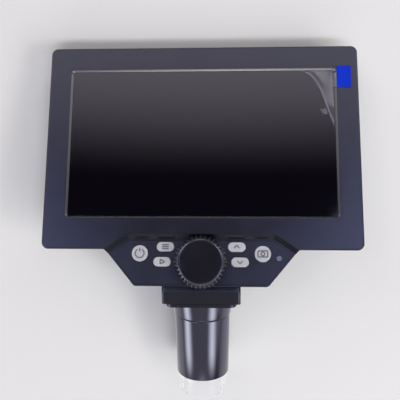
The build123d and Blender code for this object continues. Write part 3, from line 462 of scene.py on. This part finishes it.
def makeFlange():
    # outline rings (inset, z) of the plate, closed by the circle round the tube's spigot
    low, high = tube["collarHalf"], tube["collarHalf"] + tube["flange"]
    turn = np.linspace(0, np.pi / 2, flange["edgeSteps"])
    edge = flange["edge"]
    rings = [(flange["foot"], low), (0, low + flange["foot"])]
    rings += list(zip(edge * (1 - np.cos(turn)), high - edge + edge * np.sin(turn)))
    outer = [roundedRing(flange["halfWidth"] - d, d - flange["halfDepth"], flange["halfDepth"] - d,
                         flange["corner"] - d) for d, _ in rings]
    angle = np.arctan2(outer[0][:, 1], outer[0][:, 0])
    hole = np.stack((np.cos(angle), np.sin(angle)), axis=-1) * (tube["spigot"] + flange["holeGap"])
    flat = np.stack([hole] + outer + [hole])
    height = np.array([low] + [z for _, z in rings] + [high])[:, None] + 0 * flat[..., 0]
    points = np.concatenate((flat, height[..., None]), axis=-1)
    plate = meshObject("flangeSkin", points * mm, ringFaces(*points.shape[:2]), neckAbs)
    plate.data.set_sharp_from_angle(angle=math.radians(flange["sharp"]))
    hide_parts("neck_flange")
    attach(plate, "head")
    # screw heads: a profile (radius, height over the underside) turned about each of the four places
    screw = flangeScrew
    farX, farY = flange["halfWidth"] - screw["inset"], flange["halfDepth"] - screw["inset"]
    profile = np.array(((screw["centre"], screw["neckHeight"]), (screw["neckRadius"], screw["neckHeight"]),
                        (screw["radius"], screw["coneFoot"]), (screw["radius"], -screw["proud"]),
                        (screw["socketMouth"], -screw["proud"]), (screw["socketFloor"], screw["socketDepth"]),
                        (screw["centre"], screw["socketDepth"])))
    turn = np.linspace(0, 2 * np.pi, screw["steps"], endpoint=False)
    headFaces = ringFaces(len(profile), screw["steps"])[:, ::-1]
    heads = []
    for x, y in ((signX * farX, signY * farY) for signX in (-1, 1) for signY in (-1, 1)):
        ring = np.stack((x + profile[:, :1] * np.cos(turn), y + profile[:, :1] * np.sin(turn),
                         low + profile[:, 1:] + 0 * turn), axis=-1)
        heads.append((ring.reshape(-1, 3), headFaces))
    points, faces = joined(heads)
    screws = meshObject("flangeScrewHeads", points * mm, faces, blackSteel, smooth=False)
    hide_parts("flange_screws")
    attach(screws, "head")


makeNeck()
makeFlange()
print("neck and flange made")

# Focus knob: profile points are (radius, height over the key panel, share of the tooth depth)
knob = dict(
    teeth=36, perTooth=12, toothDepth=0.95, notchMiddle=0.5, notchDepth=0.62, notchPower=1.3, panelOut=-3.0,
    upDown=-7.0, profile=(
        (2.05, 6.8, 0), (2.05, 0.3, 0), (7.7, 0.3, 0), (8.0, 0.6, 0), (8.0, 3.5, 0), (13.6, 3.5, 0),
        (14.6, 3.5, 0.2), (15.0, 3.6, 0.8), (15.13, 3.85, 1), (15.12, 4.4, 1), (15.05, 5.0, 1),
        (14.3, 6.6, 0.95), (13.75, 7.7, 0.85), (13.35, 8.2, 0.7), (13.1, 8.4, 0.55), (12.95, 8.58, 0.4),
        (12.55, 8.93, 0.05), (12.45, 8.97, 0), (12.3, 8.95, 0), (12.0, 8.72, 0), (11.95, 8.6, 0),
        (11.95, 7.8, 0), (11.8, 7.75, 0), (2.3, 7.75, 0)))
# its disc: top and foot over the key panel, soft edge, and the dish in its face
disc = dict(radius=11.9, top=8.7, foot=7.62, edge=0.15, soft=0.04, rim=0.3, lip=0.02, dish=0.3, centre=0.001,
            innerRing=0.02, rings=24, around=128)


def headCircle(radius, angle, height):
    # rings about the knob's axis, height counted from the key panel; all in metres
    x = radius * np.cos(angle)
    up = knob["upDown"] * mm + radius * np.sin(angle)
    return onHead(x, up, knob["panelOut"] * mm + height)


def makeKnob():
    # radius = profile - tooth depth x share x (rounded notch between two teeth), once round the axis
    profile = np.array(knob["profile"])
    rounds = knob["teeth"] * knob["perTooth"]
    angle = np.linspace(0, 2 * np.pi, rounds, endpoint=False)
    wave = knob["notchMiddle"] - knob["notchDepth"] * np.cos(angle * knob["teeth"])
    notch = np.clip(wave, 0, 1) ** knob["notchPower"]
    radius = profile[:, :1] - knob["toothDepth"] * profile[:, 2:] * notch
    points = headCircle(radius * mm, angle[None, :], profile[:, 1:2] * mm)
    body = meshObject("focusKnobSkin", points, ringFaces(*points.shape[:2])[:, ::-1], knobAbs)
    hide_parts("focus_knob")
    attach(body, "knob")


def makeDisc():
    # flat foot, rounded edge and a shallow dish: height = top - lip - dish x (1 - (radius / edge) squared)
    share = np.linspace(0, 1, disc["rings"])[::-1]
    edge, top = disc["radius"], disc["top"]
    radius = np.concatenate(((disc["centre"], edge, edge, edge - disc["soft"], edge - disc["edge"]),
                             share * (edge - disc["rim"]) + disc["innerRing"], (disc["centre"],)))
    dish = top - disc["lip"] - disc["dish"] * (1 - share ** 2)
    foot = (disc["foot"], disc["foot"])
    height = np.concatenate((foot, (top - disc["edge"], top - disc["soft"], top), dish, dish[-1:]))
    angle = np.linspace(0, 2 * np.pi, disc["around"], endpoint=False)
    points = headCircle(radius[:, None] * mm, angle[None, :], height[:, None] * mm)
    piece = meshObject("knobDiscSkin", points, ringFaces(*points.shape[:2])[:, ::-1], knobAbs)
    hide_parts("knob_cap")
    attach(piece, "knob")


makeKnob()
makeDisc()
print("knob made with", knob["teeth"], "teeth")

# Lip of the window: the bevel between the front and the glass, with a softened upper edge
lip = dict(reach=2.3, slopeWidth=1.02, proud=0.02, bend=-1.1, inside=0.03, knee=(0.05, 0.055), foot=-1.39,
           heel=(0.35, -0.02), corner=1.2, cornerSteps=9, edge=0.25, edgeSteps=7,
           rim=((0, -0.12), (0.02, -0.02), (0.06, 0), (0.16, 0)))


def makeLip():
    # cross-section points (distance outside the window's edge, height) go round a rounded rectangle
    section = [(lip["reach"] - inward, lip["proud"] + rise) for inward, rise in lip["rim"]]
    bend = (-lip["inside"], lip["bend"])
    section += list(roundCorner((lip["reach"], lip["proud"]), (lip["slopeWidth"], lip["proud"]), bend,
                                lip["edge"], lip["edgeSteps"]))
    section += [(bend[0] + lip["knee"][0], bend[1] + lip["knee"][1]), bend,
                (bend[0], bend[1] - lip["knee"][0]), (bend[0], lip["foot"]),
                (lip["heel"][0], lip["foot"] + lip["heel"][1])]
    section = np.array(section)
    turn = np.linspace(0, np.pi / 2, lip["cornerSteps"])
    angle = np.concatenate([turn + quarter * np.pi / 2 for quarter in range(4)])
    quarter = np.repeat(np.arange(4), lip["cornerSteps"])
    signX, signUp = np.where(np.isin(quarter, (0, 3)), 1, -1), np.where(quarter < 2, 1, -1)
    centreX = signX * (window["width"] / 2 / mm - lip["corner"])
    centreUp = window["middle"] / mm + signUp * (window["height"] / 2 / mm - lip["corner"])
    radius = lip["corner"] + section[:, :1]
    x, up = centreX + radius * np.cos(angle), centreUp + radius * np.sin(angle)
    points = onHead(x * mm, up * mm, section[:, 1:] * mm)
    rows, around = points.shape[:2]
    piece = meshObject("windowLip", points, ringFaces(rows, around)[:, ::-1], housingAbs)
    # the slope and its softened edge are polished and get the lighter colour that paints part of the highlight
    # line; the rim that lies on the front does not
    piece.data.materials.append(lipPaintedHighlightAbs)
    polished = np.repeat(np.arange(rows) > len(lip["rim"]), around).astype(np.int32)
    piece.data.polygons.foreach_set("material_index", polished)
    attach(piece, "head")


makeLip()
print("lip of the window made")

# Screen film, in millimetres from the middle of the window: it has come off the glass beyond the crease.
# fineFrom and its counts set the grid, which is finer in the lifted corner
film = dict(width=153.6, height=86.2, thick=0.13, gap=0.01, fineFrom=(48, 4), counts=(30, 100, 20, 110),
            crease=((55, 43.6), (69, 42.6), (68.4, 30), (77.6, 7)), creaseSteps=220, lift=0.6,
            slope=(-0.4, 4.5), wave=0.25, waveUp=0.5, waveAcross=0.3, ridge=0.14, ridgeWidth=0.6,
            bubble=(71.2, 18.3), bubbleRadius=1.9, bubbleRise=0.16, seenFrom=(-0.6, 0.5),
            underTab=(66, 77, 26, 34), pressed=0.8, pressedClear=0.3)


def bezier(corners, steps):
    # (1-t)^3 a + 3(1-t)^2 t b + 3(1-t) t^2 c + t^3 d
    t = np.linspace(0, 1, steps)[:, None]
    a, b, c, d = np.asarray(corners, float)
    return (1 - t) ** 3 * a + 3 * (1 - t) ** 2 * t * b + 3 * (1 - t) * t ** 2 * c + t ** 3 * d


def creaseDistance(x, up):
    # distance to the nearest point of the crease, positive on the corner's side
    curve = bezier(film["crease"], film["creaseSteps"])
    along = np.gradient(curve, axis=0)
    offset = np.stack((x, up), axis=-1)[..., None, :] - curve
    nearest = np.argmin((offset ** 2).sum(-1), axis=-1)
    way = np.take_along_axis(offset, nearest[..., None, None], axis=-2)[..., 0, :]
    side = along[nearest][..., 0] * way[..., 1] - along[nearest][..., 1] * way[..., 0]
    return np.sign(side) * np.sqrt((way ** 2).sum(-1))


def unevenSteps(start, split, end, coarse, fine):
    # coarse even steps from start to split, then fine ones to the end
    return np.concatenate((np.linspace(start, split, coarse, endpoint=False), np.linspace(split, end, fine)))


def makeFilm():
    # height = lift x step(distance) x (1 + wave) + ridge x bell(distance / width) + bubble x bell(radius),
    # less under the tab
    halfWide, halfHigh = film["width"] / 2, film["height"] / 2
    x, up = np.meshgrid(unevenSteps(-halfWide, film["fineFrom"][0], halfWide, *film["counts"][:2]),
                        unevenSteps(-halfHigh, film["fineFrom"][1], halfHigh, *film["counts"][2:]))
    off = creaseDistance(x, up)
    free = smoothStep(*film["slope"], off)
    wave = film["wave"] * np.sin(film["waveUp"] * up + film["waveAcross"] * x)
    rise = film["lift"] * free * (1 + wave) / (1 + film["wave"])
    rise += film["ridge"] * np.exp(-(off / film["ridgeWidth"]) ** 2)
    fromBubble = np.hypot(x - film["bubble"][0], up - film["bubble"][1]) / film["bubbleRadius"]
    rise += film["bubbleRise"] * np.exp(-fromBubble ** 4)
    left, right, low, high = film["underTab"]
    held = smoothStep(left, right, x) * smoothStep(low, high, up)
    rise *= 1 - film["pressed"] * held
    lifted = np.maximum(smoothStep(*film["seenFrom"], off), np.exp(-fromBubble ** 4))
    lifted *= 1 - film["pressedClear"] * held
    underside = window["glass"] + film["gap"] * mm
    place = [onHead(x * mm, window["middle"] + up * mm, underside + (rise + raised) * mm)
             for raised in (film["thick"], 0)]
    points, faces = closedSheet(*place)
    skin = meshObject("screenFilmSkin", points, faces, filmPet)
    values = np.concatenate((lifted, lifted[:, ::-1]), axis=1).ravel()
    skin.data.attributes.new("lifted", "FLOAT", "POINT").data.foreach_set("value", values)
    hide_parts("screen_film")
    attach(skin, "head")


makeFilm()

# Release tab: a blue flap on the bezel, on a clear strip that runs down the bevel onto the film
tab = dict(rim=1.5, reach=8.1, wide=13.2, headroom=11.0, thick=0.2, clear=0.02, round=0.7, curl=0.35,
           curlPower=2.5, steps=(26, 34))
# the strip's course: points (distance beyond the window's edge, height over the front)
strip = dict(width=10.2, thick=0.12, steps=(40, 12), course=(
    (-2.4, -1.23), (-0.8, -1.22), (-0.3, -1.12), (0.0, -0.95), (0.5, -0.44), (1.0, 0.06), (1.3, 0.1),
    (3.0, 0.06)))


def makeTab():
    # flap height = clearance + curl x (share of the reach) to a power, with its outer corners rounded
    rim = window["width"] / 2 / mm + tab["rim"]
    low = (window["foot"] + window["height"]) / mm - tab["headroom"]
    share = np.sin(np.linspace(0, 1, tab["steps"][0]) * np.pi / 2)[None, :]
    across = np.linspace(-1, 1, tab["steps"][1])[:, None]
    intoCorner = np.clip(tab["round"] - tab["reach"] * (1 - share), 0, None)
    cut = tab["round"] - np.sqrt(np.clip(tab["round"] ** 2 - intoCorner ** 2, 0, None))
    x = rim + tab["reach"] * share + 0 * across
    up = low + tab["wide"] / 2 + across * (tab["wide"] / 2 - cut)
    out = tab["clear"] + tab["curl"] * share ** tab["curlPower"] + 0 * across
    flap = closedSheet(*(onHead(x * mm, up * mm, (out + raised) * mm) for raised in (tab["thick"], 0)))
    piece = meshObject("tabFlap", *flap, tabFilm)
    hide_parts("film_pull_tab")
    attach(piece, "head")


def makeStrip():
    # from the film over the lip onto the bezel: straight lines between the points of its course
    course = np.array(strip["course"])
    low = (window["foot"] + window["height"]) / mm - tab["headroom"]
    way = np.linspace(0, len(course) - 1, strip["steps"][0])
    x = np.interp(way, np.arange(len(course)), course[:, 0]) + window["width"] / 2 / mm
    out = np.interp(way, np.arange(len(course)), course[:, 1])
    up = low + np.linspace(0, strip["width"], strip["steps"][1])[:, None] + 0 * x
    band = closedSheet(*(onHead((x + 0 * up) * mm, up * mm, (out + raised) * mm)
                         for raised in (strip["thick"], 0.0)))
    piece = meshObject("tabStrip", *band, stripPet)
    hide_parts("film_pull_tab")
    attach(piece, "head")


makeTab()
makeStrip()
print("film with its lifted corner and release tab made")


def arc(radius, start, end, steps=40):
    # points on a circle about the key's middle, from one angle in degrees to another
    angle = np.radians(np.linspace(start, end, steps))
    return np.stack((radius * np.cos(angle), radius * np.sin(angle)), axis=-1)


# Marks on the keys: the key's middle on the panel and the mark's strokes about it, in millimetres
marks = {
    "button_left_outer": ((-34.8, -2.0), [arc(2.5, 120, 420), np.array(((0, 0.9), (0, 3.1)))]),
    "button_left_upper": ((-20.2, 1.8), [np.array(((-1.9, up), (1.9, up))) for up in (-1.1, 0, 1.1)]),
    "button_left_lower": ((-22.0, -6.7), [np.array(((-1.0, 1.3), (1.5, 0), (-1.0, -1.3), (-1.0, 1.3)))]),
    "button_right_upper": ((20.2, 1.8), [np.array(((-1.5, -0.7), (0, 1.0), (1.5, -0.7)))]),
    "button_right_lower": ((22.0, -6.7), [np.array(((-1.5, 0.7), (0, -1.0), (1.5, 0.7)))]),
    "button_right_outer": ((34.8, -2.0), [
        np.array(((-2.7, -1.7), (2.7, -1.7), (2.7, 1.7), (-2.7, 1.7), (-2.7, -1.7))), arc(1.0, 0, 360)]),
}
# strokes with fewer points than arcFrom are drawn as straight pieces with sharp corners
stroke = dict(width=0.78, thick=0.03, sunk=0.01, arcFrom=10)


def strokeSheet(points, middle, out):
    # a flat ribbon along the points, half the stroke's width to either side
    way = np.gradient(points, axis=0)
    way /= np.linalg.norm(way, axis=1, keepdims=True)
    beside = np.stack((-way[:, 1], way[:, 0]), axis=-1) * stroke["width"] / 2
    x, up = np.stack((points + beside, points - beside), axis=1).transpose(2, 0, 1)
    return closedSheet(*(onHead((x + middle[0]) * mm, (up + middle[1]) * mm, out + raised)
                         for raised in (stroke["thick"] * mm, -stroke["sunk"] * mm)))


def makeMarks():
    # all strokes of a key as one flat piece on its cap
    out = head["buttonProud"] - head["panelRecess"]
    for nodeName, (middle, strokes) in marks.items():
        lines = []
        for line in strokes:
            straight = len(line) < stroke["arcFrom"]
            lines += [line[i:i + 2] for i in range(len(line) - 1)] if straight else [line]
        ribbons = [strokeSheet(line, middle, out) for line in lines]
        piece = meshObject(nodeName + "Mark", *joined(ribbons), keyInk, smooth=False)
        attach(piece, bodyOf[nodeName])


makeMarks()
print("marks printed on", len(marks), "keys")

# Tabletop: the head lies on its back, on the housing's top rear edge and the hood's end
table = dict(pointY=53.4 * mm, pointZ=136.1 * mm, normalY=-0.9806, normalZ=0.1961, below=0.3 * mm, size=2.4,
             points=9, colour="#e2e3e1", darkest=0.97, cloudsPerMetre=4.0)


def makeTable():
    # a flat square of a few quads, through the point just below the resting point and square to the normal
    normal = Vector((0, table["normalY"], table["normalZ"])).normalized()
    along = normal.cross(rightward)
    across = np.linspace(-table["size"], table["size"], table["points"])
    u, v = np.meshgrid(across, across, indexing="ij")
    middle = np.array((0, table["pointY"], table["pointZ"])) - np.array(normal) * table["below"]
    points = middle + u[..., None] * np.array(rightward) + v[..., None] * np.array(along)
    material, tree = newMaterial("paintedTabletop")
    # painted board: pale grey, matt; its back is clear, so that it hides nothing from behind
    place = addNode(tree, "ShaderNodeTexCoord")
    cloud = addNode(tree, "ShaderNodeTexNoise", {"Scale": table["cloudsPerMetre"], "Detail": 2.0},
                    {"Vector": place.outputs["Object"]})
    tone = addNode(tree, "ShaderNodeMapRange", {"To Min": table["darkest"], "To Max": 1.0},
                   {"Value": cloud.outputs["Fac"]})
    colour = addNode(tree, "ShaderNodeMix", {"data_type": "RGBA", "blend_type": "MULTIPLY", 0: 1.0,
                                             6: toLinear(table["colour"])}, {7: tone.outputs["Result"]})
    matt = addNode(tree, "ShaderNodeBsdfDiffuse", {}, {"Color": colour.outputs[2]})
    clear = addNode(tree, "ShaderNodeBsdfTransparent")
    side = addNode(tree, "ShaderNodeNewGeometry")
    shader = addNode(tree, "ShaderNodeMixShader", {},
                     {0: side.outputs["Backfacing"], 1: matt.outputs[0], 2: clear.outputs[0]})
    finishMaterial(tree, shader.outputs[0])
    top = meshObject("tabletop", points, gridFaces(*u.shape), material, smooth=False)
    if top.data.polygons[0].normal.dot(normal) < 0:
        top.data.flip_normals()
    top.visible_diffuse = top.visible_glossy = top.visible_shadow = False


makeTable()

# Room light, in the head's own directions: dark where the viewer stands, light above, below and beside.
# Each term is a product of smooth steps, (measure, from, to, level). The measures are the head's axes up and
# out; across, the distance from the middle; aside, the same from a middle set over; and beyond, aside less a
# share of up, which makes the dark gap in front of the screen narrower further down.
inFront = ("out", -0.1, 0.25, 1.0)
room = dict(
    even=((("up", 0.2, 0.4, 2.3), inFront), (("up", 0.48, 0.75, -1.6), inFront),
          (("up", -0.1, -0.45, 0.45), inFront), (("up", -0.89, -0.97, 1.4), inFront),
          (("out", 0.05, -0.45, 0.9),), (("up", -0.922, -0.96, 9.5), ("out", 0.2, 0.34, 1.0)),
          (("across", 0.7, 0.92, 0.38), ("out", -0.5, -0.1, 1.0))),
    sides=((("beyond", 0.155, 0.19, 4.1), inFront, ("up", -0.35, 0.0, 1.0), ("aside", 0.6, 0.44, 1.0)),),
    evenTint="#fffcff", sidesTint="#ccd4ff", setOver=0.06, narrower=0.67, onMatt=0.31, mattTint="#fff4ec",
    seenDirectly="#dcdbdd")


def makeRoom():
    # strength = sum of the terms, less on matt surfaces, and one plain tone where the room itself is seen
    world = bpy.data.worlds.new("room")
    world.use_nodes = True
    tree = world.node_tree
    tree.nodes.clear()
    place = addNode(tree, "ShaderNodeTexCoord")
    measures = {name: addNode(tree, "ShaderNodeVectorMath", {"operation": "DOT_PRODUCT", 1: direction},
                              {0: place.outputs["Generated"]}).outputs["Value"]
                for name, direction in (("up", upward), ("out", outward), ("right", rightward))}
    moved = addNode(tree, "ShaderNodeMath", {"operation": "ADD", 1: room["setOver"]}, {0: measures["right"]})
    for name, source in (("across", measures["right"]), ("aside", moved.outputs[0])):
        measures[name] = addNode(tree, "ShaderNodeMath", {"operation": "ABSOLUTE"}, {0: source}).outputs[0]
    lower = addNode(tree, "ShaderNodeMath", {"operation": "MULTIPLY", 1: room["narrower"]},
                    {0: measures["up"]})
    measures["beyond"] = addNode(tree, "ShaderNodeMath", {"operation": "SUBTRACT"},
                                 {0: measures["aside"], 1: lower.outputs[0]}).outputs[0]
    path = addNode(tree, "ShaderNodeLightPath")
    onMatt = path.outputs["Is Diffuse Ray"]
    dimmed = addNode(tree, "ShaderNodeMapRange", {"To Min": 1.0, "To Max": room["onMatt"]}, {"Value": onMatt})
    glows = []
    for share in ("even", "sides"):
        total = None
        for factors in room[share]:
            product = dimmed.outputs[0]
            for measure, start, end, level in factors:
                step = addNode(tree, "ShaderNodeMapRange",
                               {"interpolation_type": "SMOOTHSTEP", "From Min": start, "From Max": end,
                                "To Max": level}, {"Value": measures[measure]})
                product = addNode(tree, "ShaderNodeMath", {"operation": "MULTIPLY"},
                                  {0: product, 1: step.outputs[0]}).outputs[0]
            total = product if total is None else addNode(tree, "ShaderNodeMath", {"operation": "ADD"},
                                                          {0: total, 1: product}).outputs[0]
        tint = addNode(tree, "ShaderNodeMix", {"data_type": "RGBA", 6: toLinear(room[share + "Tint"]),
                                               7: toLinear(room["mattTint"])}, {0: onMatt})
        glows.append(addNode(tree, "ShaderNodeBackground", {}, {"Color": tint.outputs[2], "Strength": total}))
    both = addNode(tree, "ShaderNodeAddShader", {}, {0: glows[0].outputs[0], 1: glows[1].outputs[0]})
    plain = addNode(tree, "ShaderNodeBackground", {"Color": toLinear(room["seenDirectly"])})
    shown = addNode(tree, "ShaderNodeMixShader", {},
                    {0: path.outputs["Is Camera Ray"], 1: both.outputs[0], 2: plain.outputs[0]})
    output = addNode(tree, "ShaderNodeOutputWorld")
    tree.links.new(shown.outputs[0], output.inputs["Surface"])
    scene.world = world


makeRoom()


def placeLamp(name, centre, aim, size, radiance, tint):
    # a rectangular lamp; its power in watts is radiance x area x pi
    data = bpy.data.lights.new(name, "AREA")
    data.shape = "RECTANGLE"
    data.size, data.size_y = size
    data.energy = radiance * size[0] * size[1] * math.pi
    data.color = toLinear(tint)[:3]
    light = bpy.data.objects.new(name, data)
    light.location = centre
    light.rotation_euler = (Vector(aim) - Vector(centre)).to_track_quat("-Z", "Y").to_euler()
    scene.collection.objects.link(light)
    return light


# A wide lamp low in front of the screen: its shadow shows above the housing
wideLamp = dict(up=-0.59, out=0.80, far=4.0, size=(2.2, 0.5), side=0.16, radiance=19.0, tint="#f2f3ff")
# A small one far to the right: the tube and the housing shade the table on their left
rightLamp = dict(up=-0.4, out=0.62, far=3.0, size=(0.5, 0.5), side=0.72, radiance=15.0, tint="#fff2e8")
# both point at the lower part of the screen, this far up the head
lampsAim = 50 * mm
# Two large softboxes, which the gloss tube shows as streaks: turn and drop in degrees as seen from the tube's
# middle; foot and top are where the light starts and is full, as shares of the half height
softboxes = dict(middleZ=-25 * mm, far=2.6, halfWidth=1.15, halfHeight=1.5, drop=-14.0, radiance=4.9,
                 rightTurn=43.0, leftTurn=-61.0, foot=(-1.02, -0.5), top=(0.8, 0.2), falloff=1.4, points=5)


def softSheet(name, turn):
    # a glowing sheet that fades out towards its rims: strength = radiance x fade(across) x fade(height)
    azimuth, drop = math.radians(turn), math.radians(softboxes["drop"])
    middle = Vector((0, 0, softboxes["middleZ"]))
    way = Vector((math.sin(azimuth) * math.cos(drop), -math.cos(azimuth) * math.cos(drop), math.sin(drop)))
    across = way.cross(Vector((0, 0, 1))).normalized()
    height = across.cross(way)
    share = np.linspace(-1, 1, softboxes["points"])
    u, v = np.meshgrid(share, share, indexing="ij")
    centre = np.array(middle + way * softboxes["far"])
    points = (centre + u[..., None] * softboxes["halfWidth"] * np.array(across)
              + v[..., None] * softboxes["halfHeight"] * np.array(height))
    material, tree = newMaterial(name + "Glow")
    place = addNode(tree, "ShaderNodeAttribute", {"attribute_name": "share"})
    parts = addNode(tree, "ShaderNodeSeparateXYZ", {}, {0: place.outputs["Vector"]})
    beside = addNode(tree, "ShaderNodeMath", {"operation": "ABSOLUTE"}, {0: parts.outputs["X"]})
    sides = addNode(tree, "ShaderNodeMapRange",
                    {"interpolation_type": "SMOOTHSTEP", "From Min": 1.0, "From Max": 0.0},
                    {"Value": beside.outputs[0]})
    edge = addNode(tree, "ShaderNodeMath", {"operation": "POWER", 1: softboxes["falloff"]},
                   {0: sides.outputs[0]})
    foot, top = (addNode(tree, "ShaderNodeMapRange",
                         {"interpolation_type": "SMOOTHSTEP", "From Min": start, "From Max": full},
                         {"Value": parts.outputs["Y"]})
                 for start, full in (softboxes["foot"], softboxes["top"]))
    # the back gives no light, and the sheet hides nothing behind it
    side = addNode(tree, "ShaderNodeNewGeometry")
    front = addNode(tree, "ShaderNodeMath", {"operation": "SUBTRACT", 0: 1.0},
                    {1: side.outputs["Backfacing"]})
    level = addNode(tree, "ShaderNodeMath", {"operation": "MULTIPLY", 1: softboxes["radiance"]},
                    {0: edge.outputs[0]})
    for factor in (foot, top, front):
        level = addNode(tree, "ShaderNodeMath", {"operation": "MULTIPLY"},
                        {0: level.outputs[0], 1: factor.outputs[0]})
    glow = addNode(tree, "ShaderNodeEmission", {}, {"Strength": level.outputs[0]})
    clear = addNode(tree, "ShaderNodeBsdfTransparent")
    shader = addNode(tree, "ShaderNodeAddShader", {}, {0: glow.outputs[0], 1: clear.outputs[0]})
    finishMaterial(tree, shader.outputs[0])
    sheet = meshObject(name, points, gridFaces(*u.shape), material, smooth=False)
    if sheet.data.polygons[0].normal.dot(way) > 0:
        sheet.data.flip_normals()
    shares = np.stack((u, v, 0 * u), axis=-1).reshape(-1)
    sheet.data.attributes.new("share", "FLOAT_VECTOR", "POINT").data.foreach_set("vector", shares)
    sheet.visible_camera = sheet.visible_shadow = False
    return sheet


def makeLamps():
    # each lamp's place is its direction x its distance, from the point on the head that it lights
    target = Vector(onHead(0, lampsAim, 0))
    for name, lamp in (("wideLamp", wideLamp), ("rightLamp", rightLamp)):
        spot = onHead(lamp["side"] * lamp["far"], lampsAim + lamp["up"] * lamp["far"],
                      lamp["out"] * lamp["far"])
        light = placeLamp(name, spot, target, lamp["size"], lamp["radiance"], lamp["tint"])
        light.visible_glossy = False
    softSheet("rightSoftbox", softboxes["rightTurn"])
    softSheet("leftSoftbox", softboxes["leftTurn"]).visible_diffuse = False


makeLamps()
scene.view_settings.view_transform = "Standard"
print("camera, tabletop and lights placed")
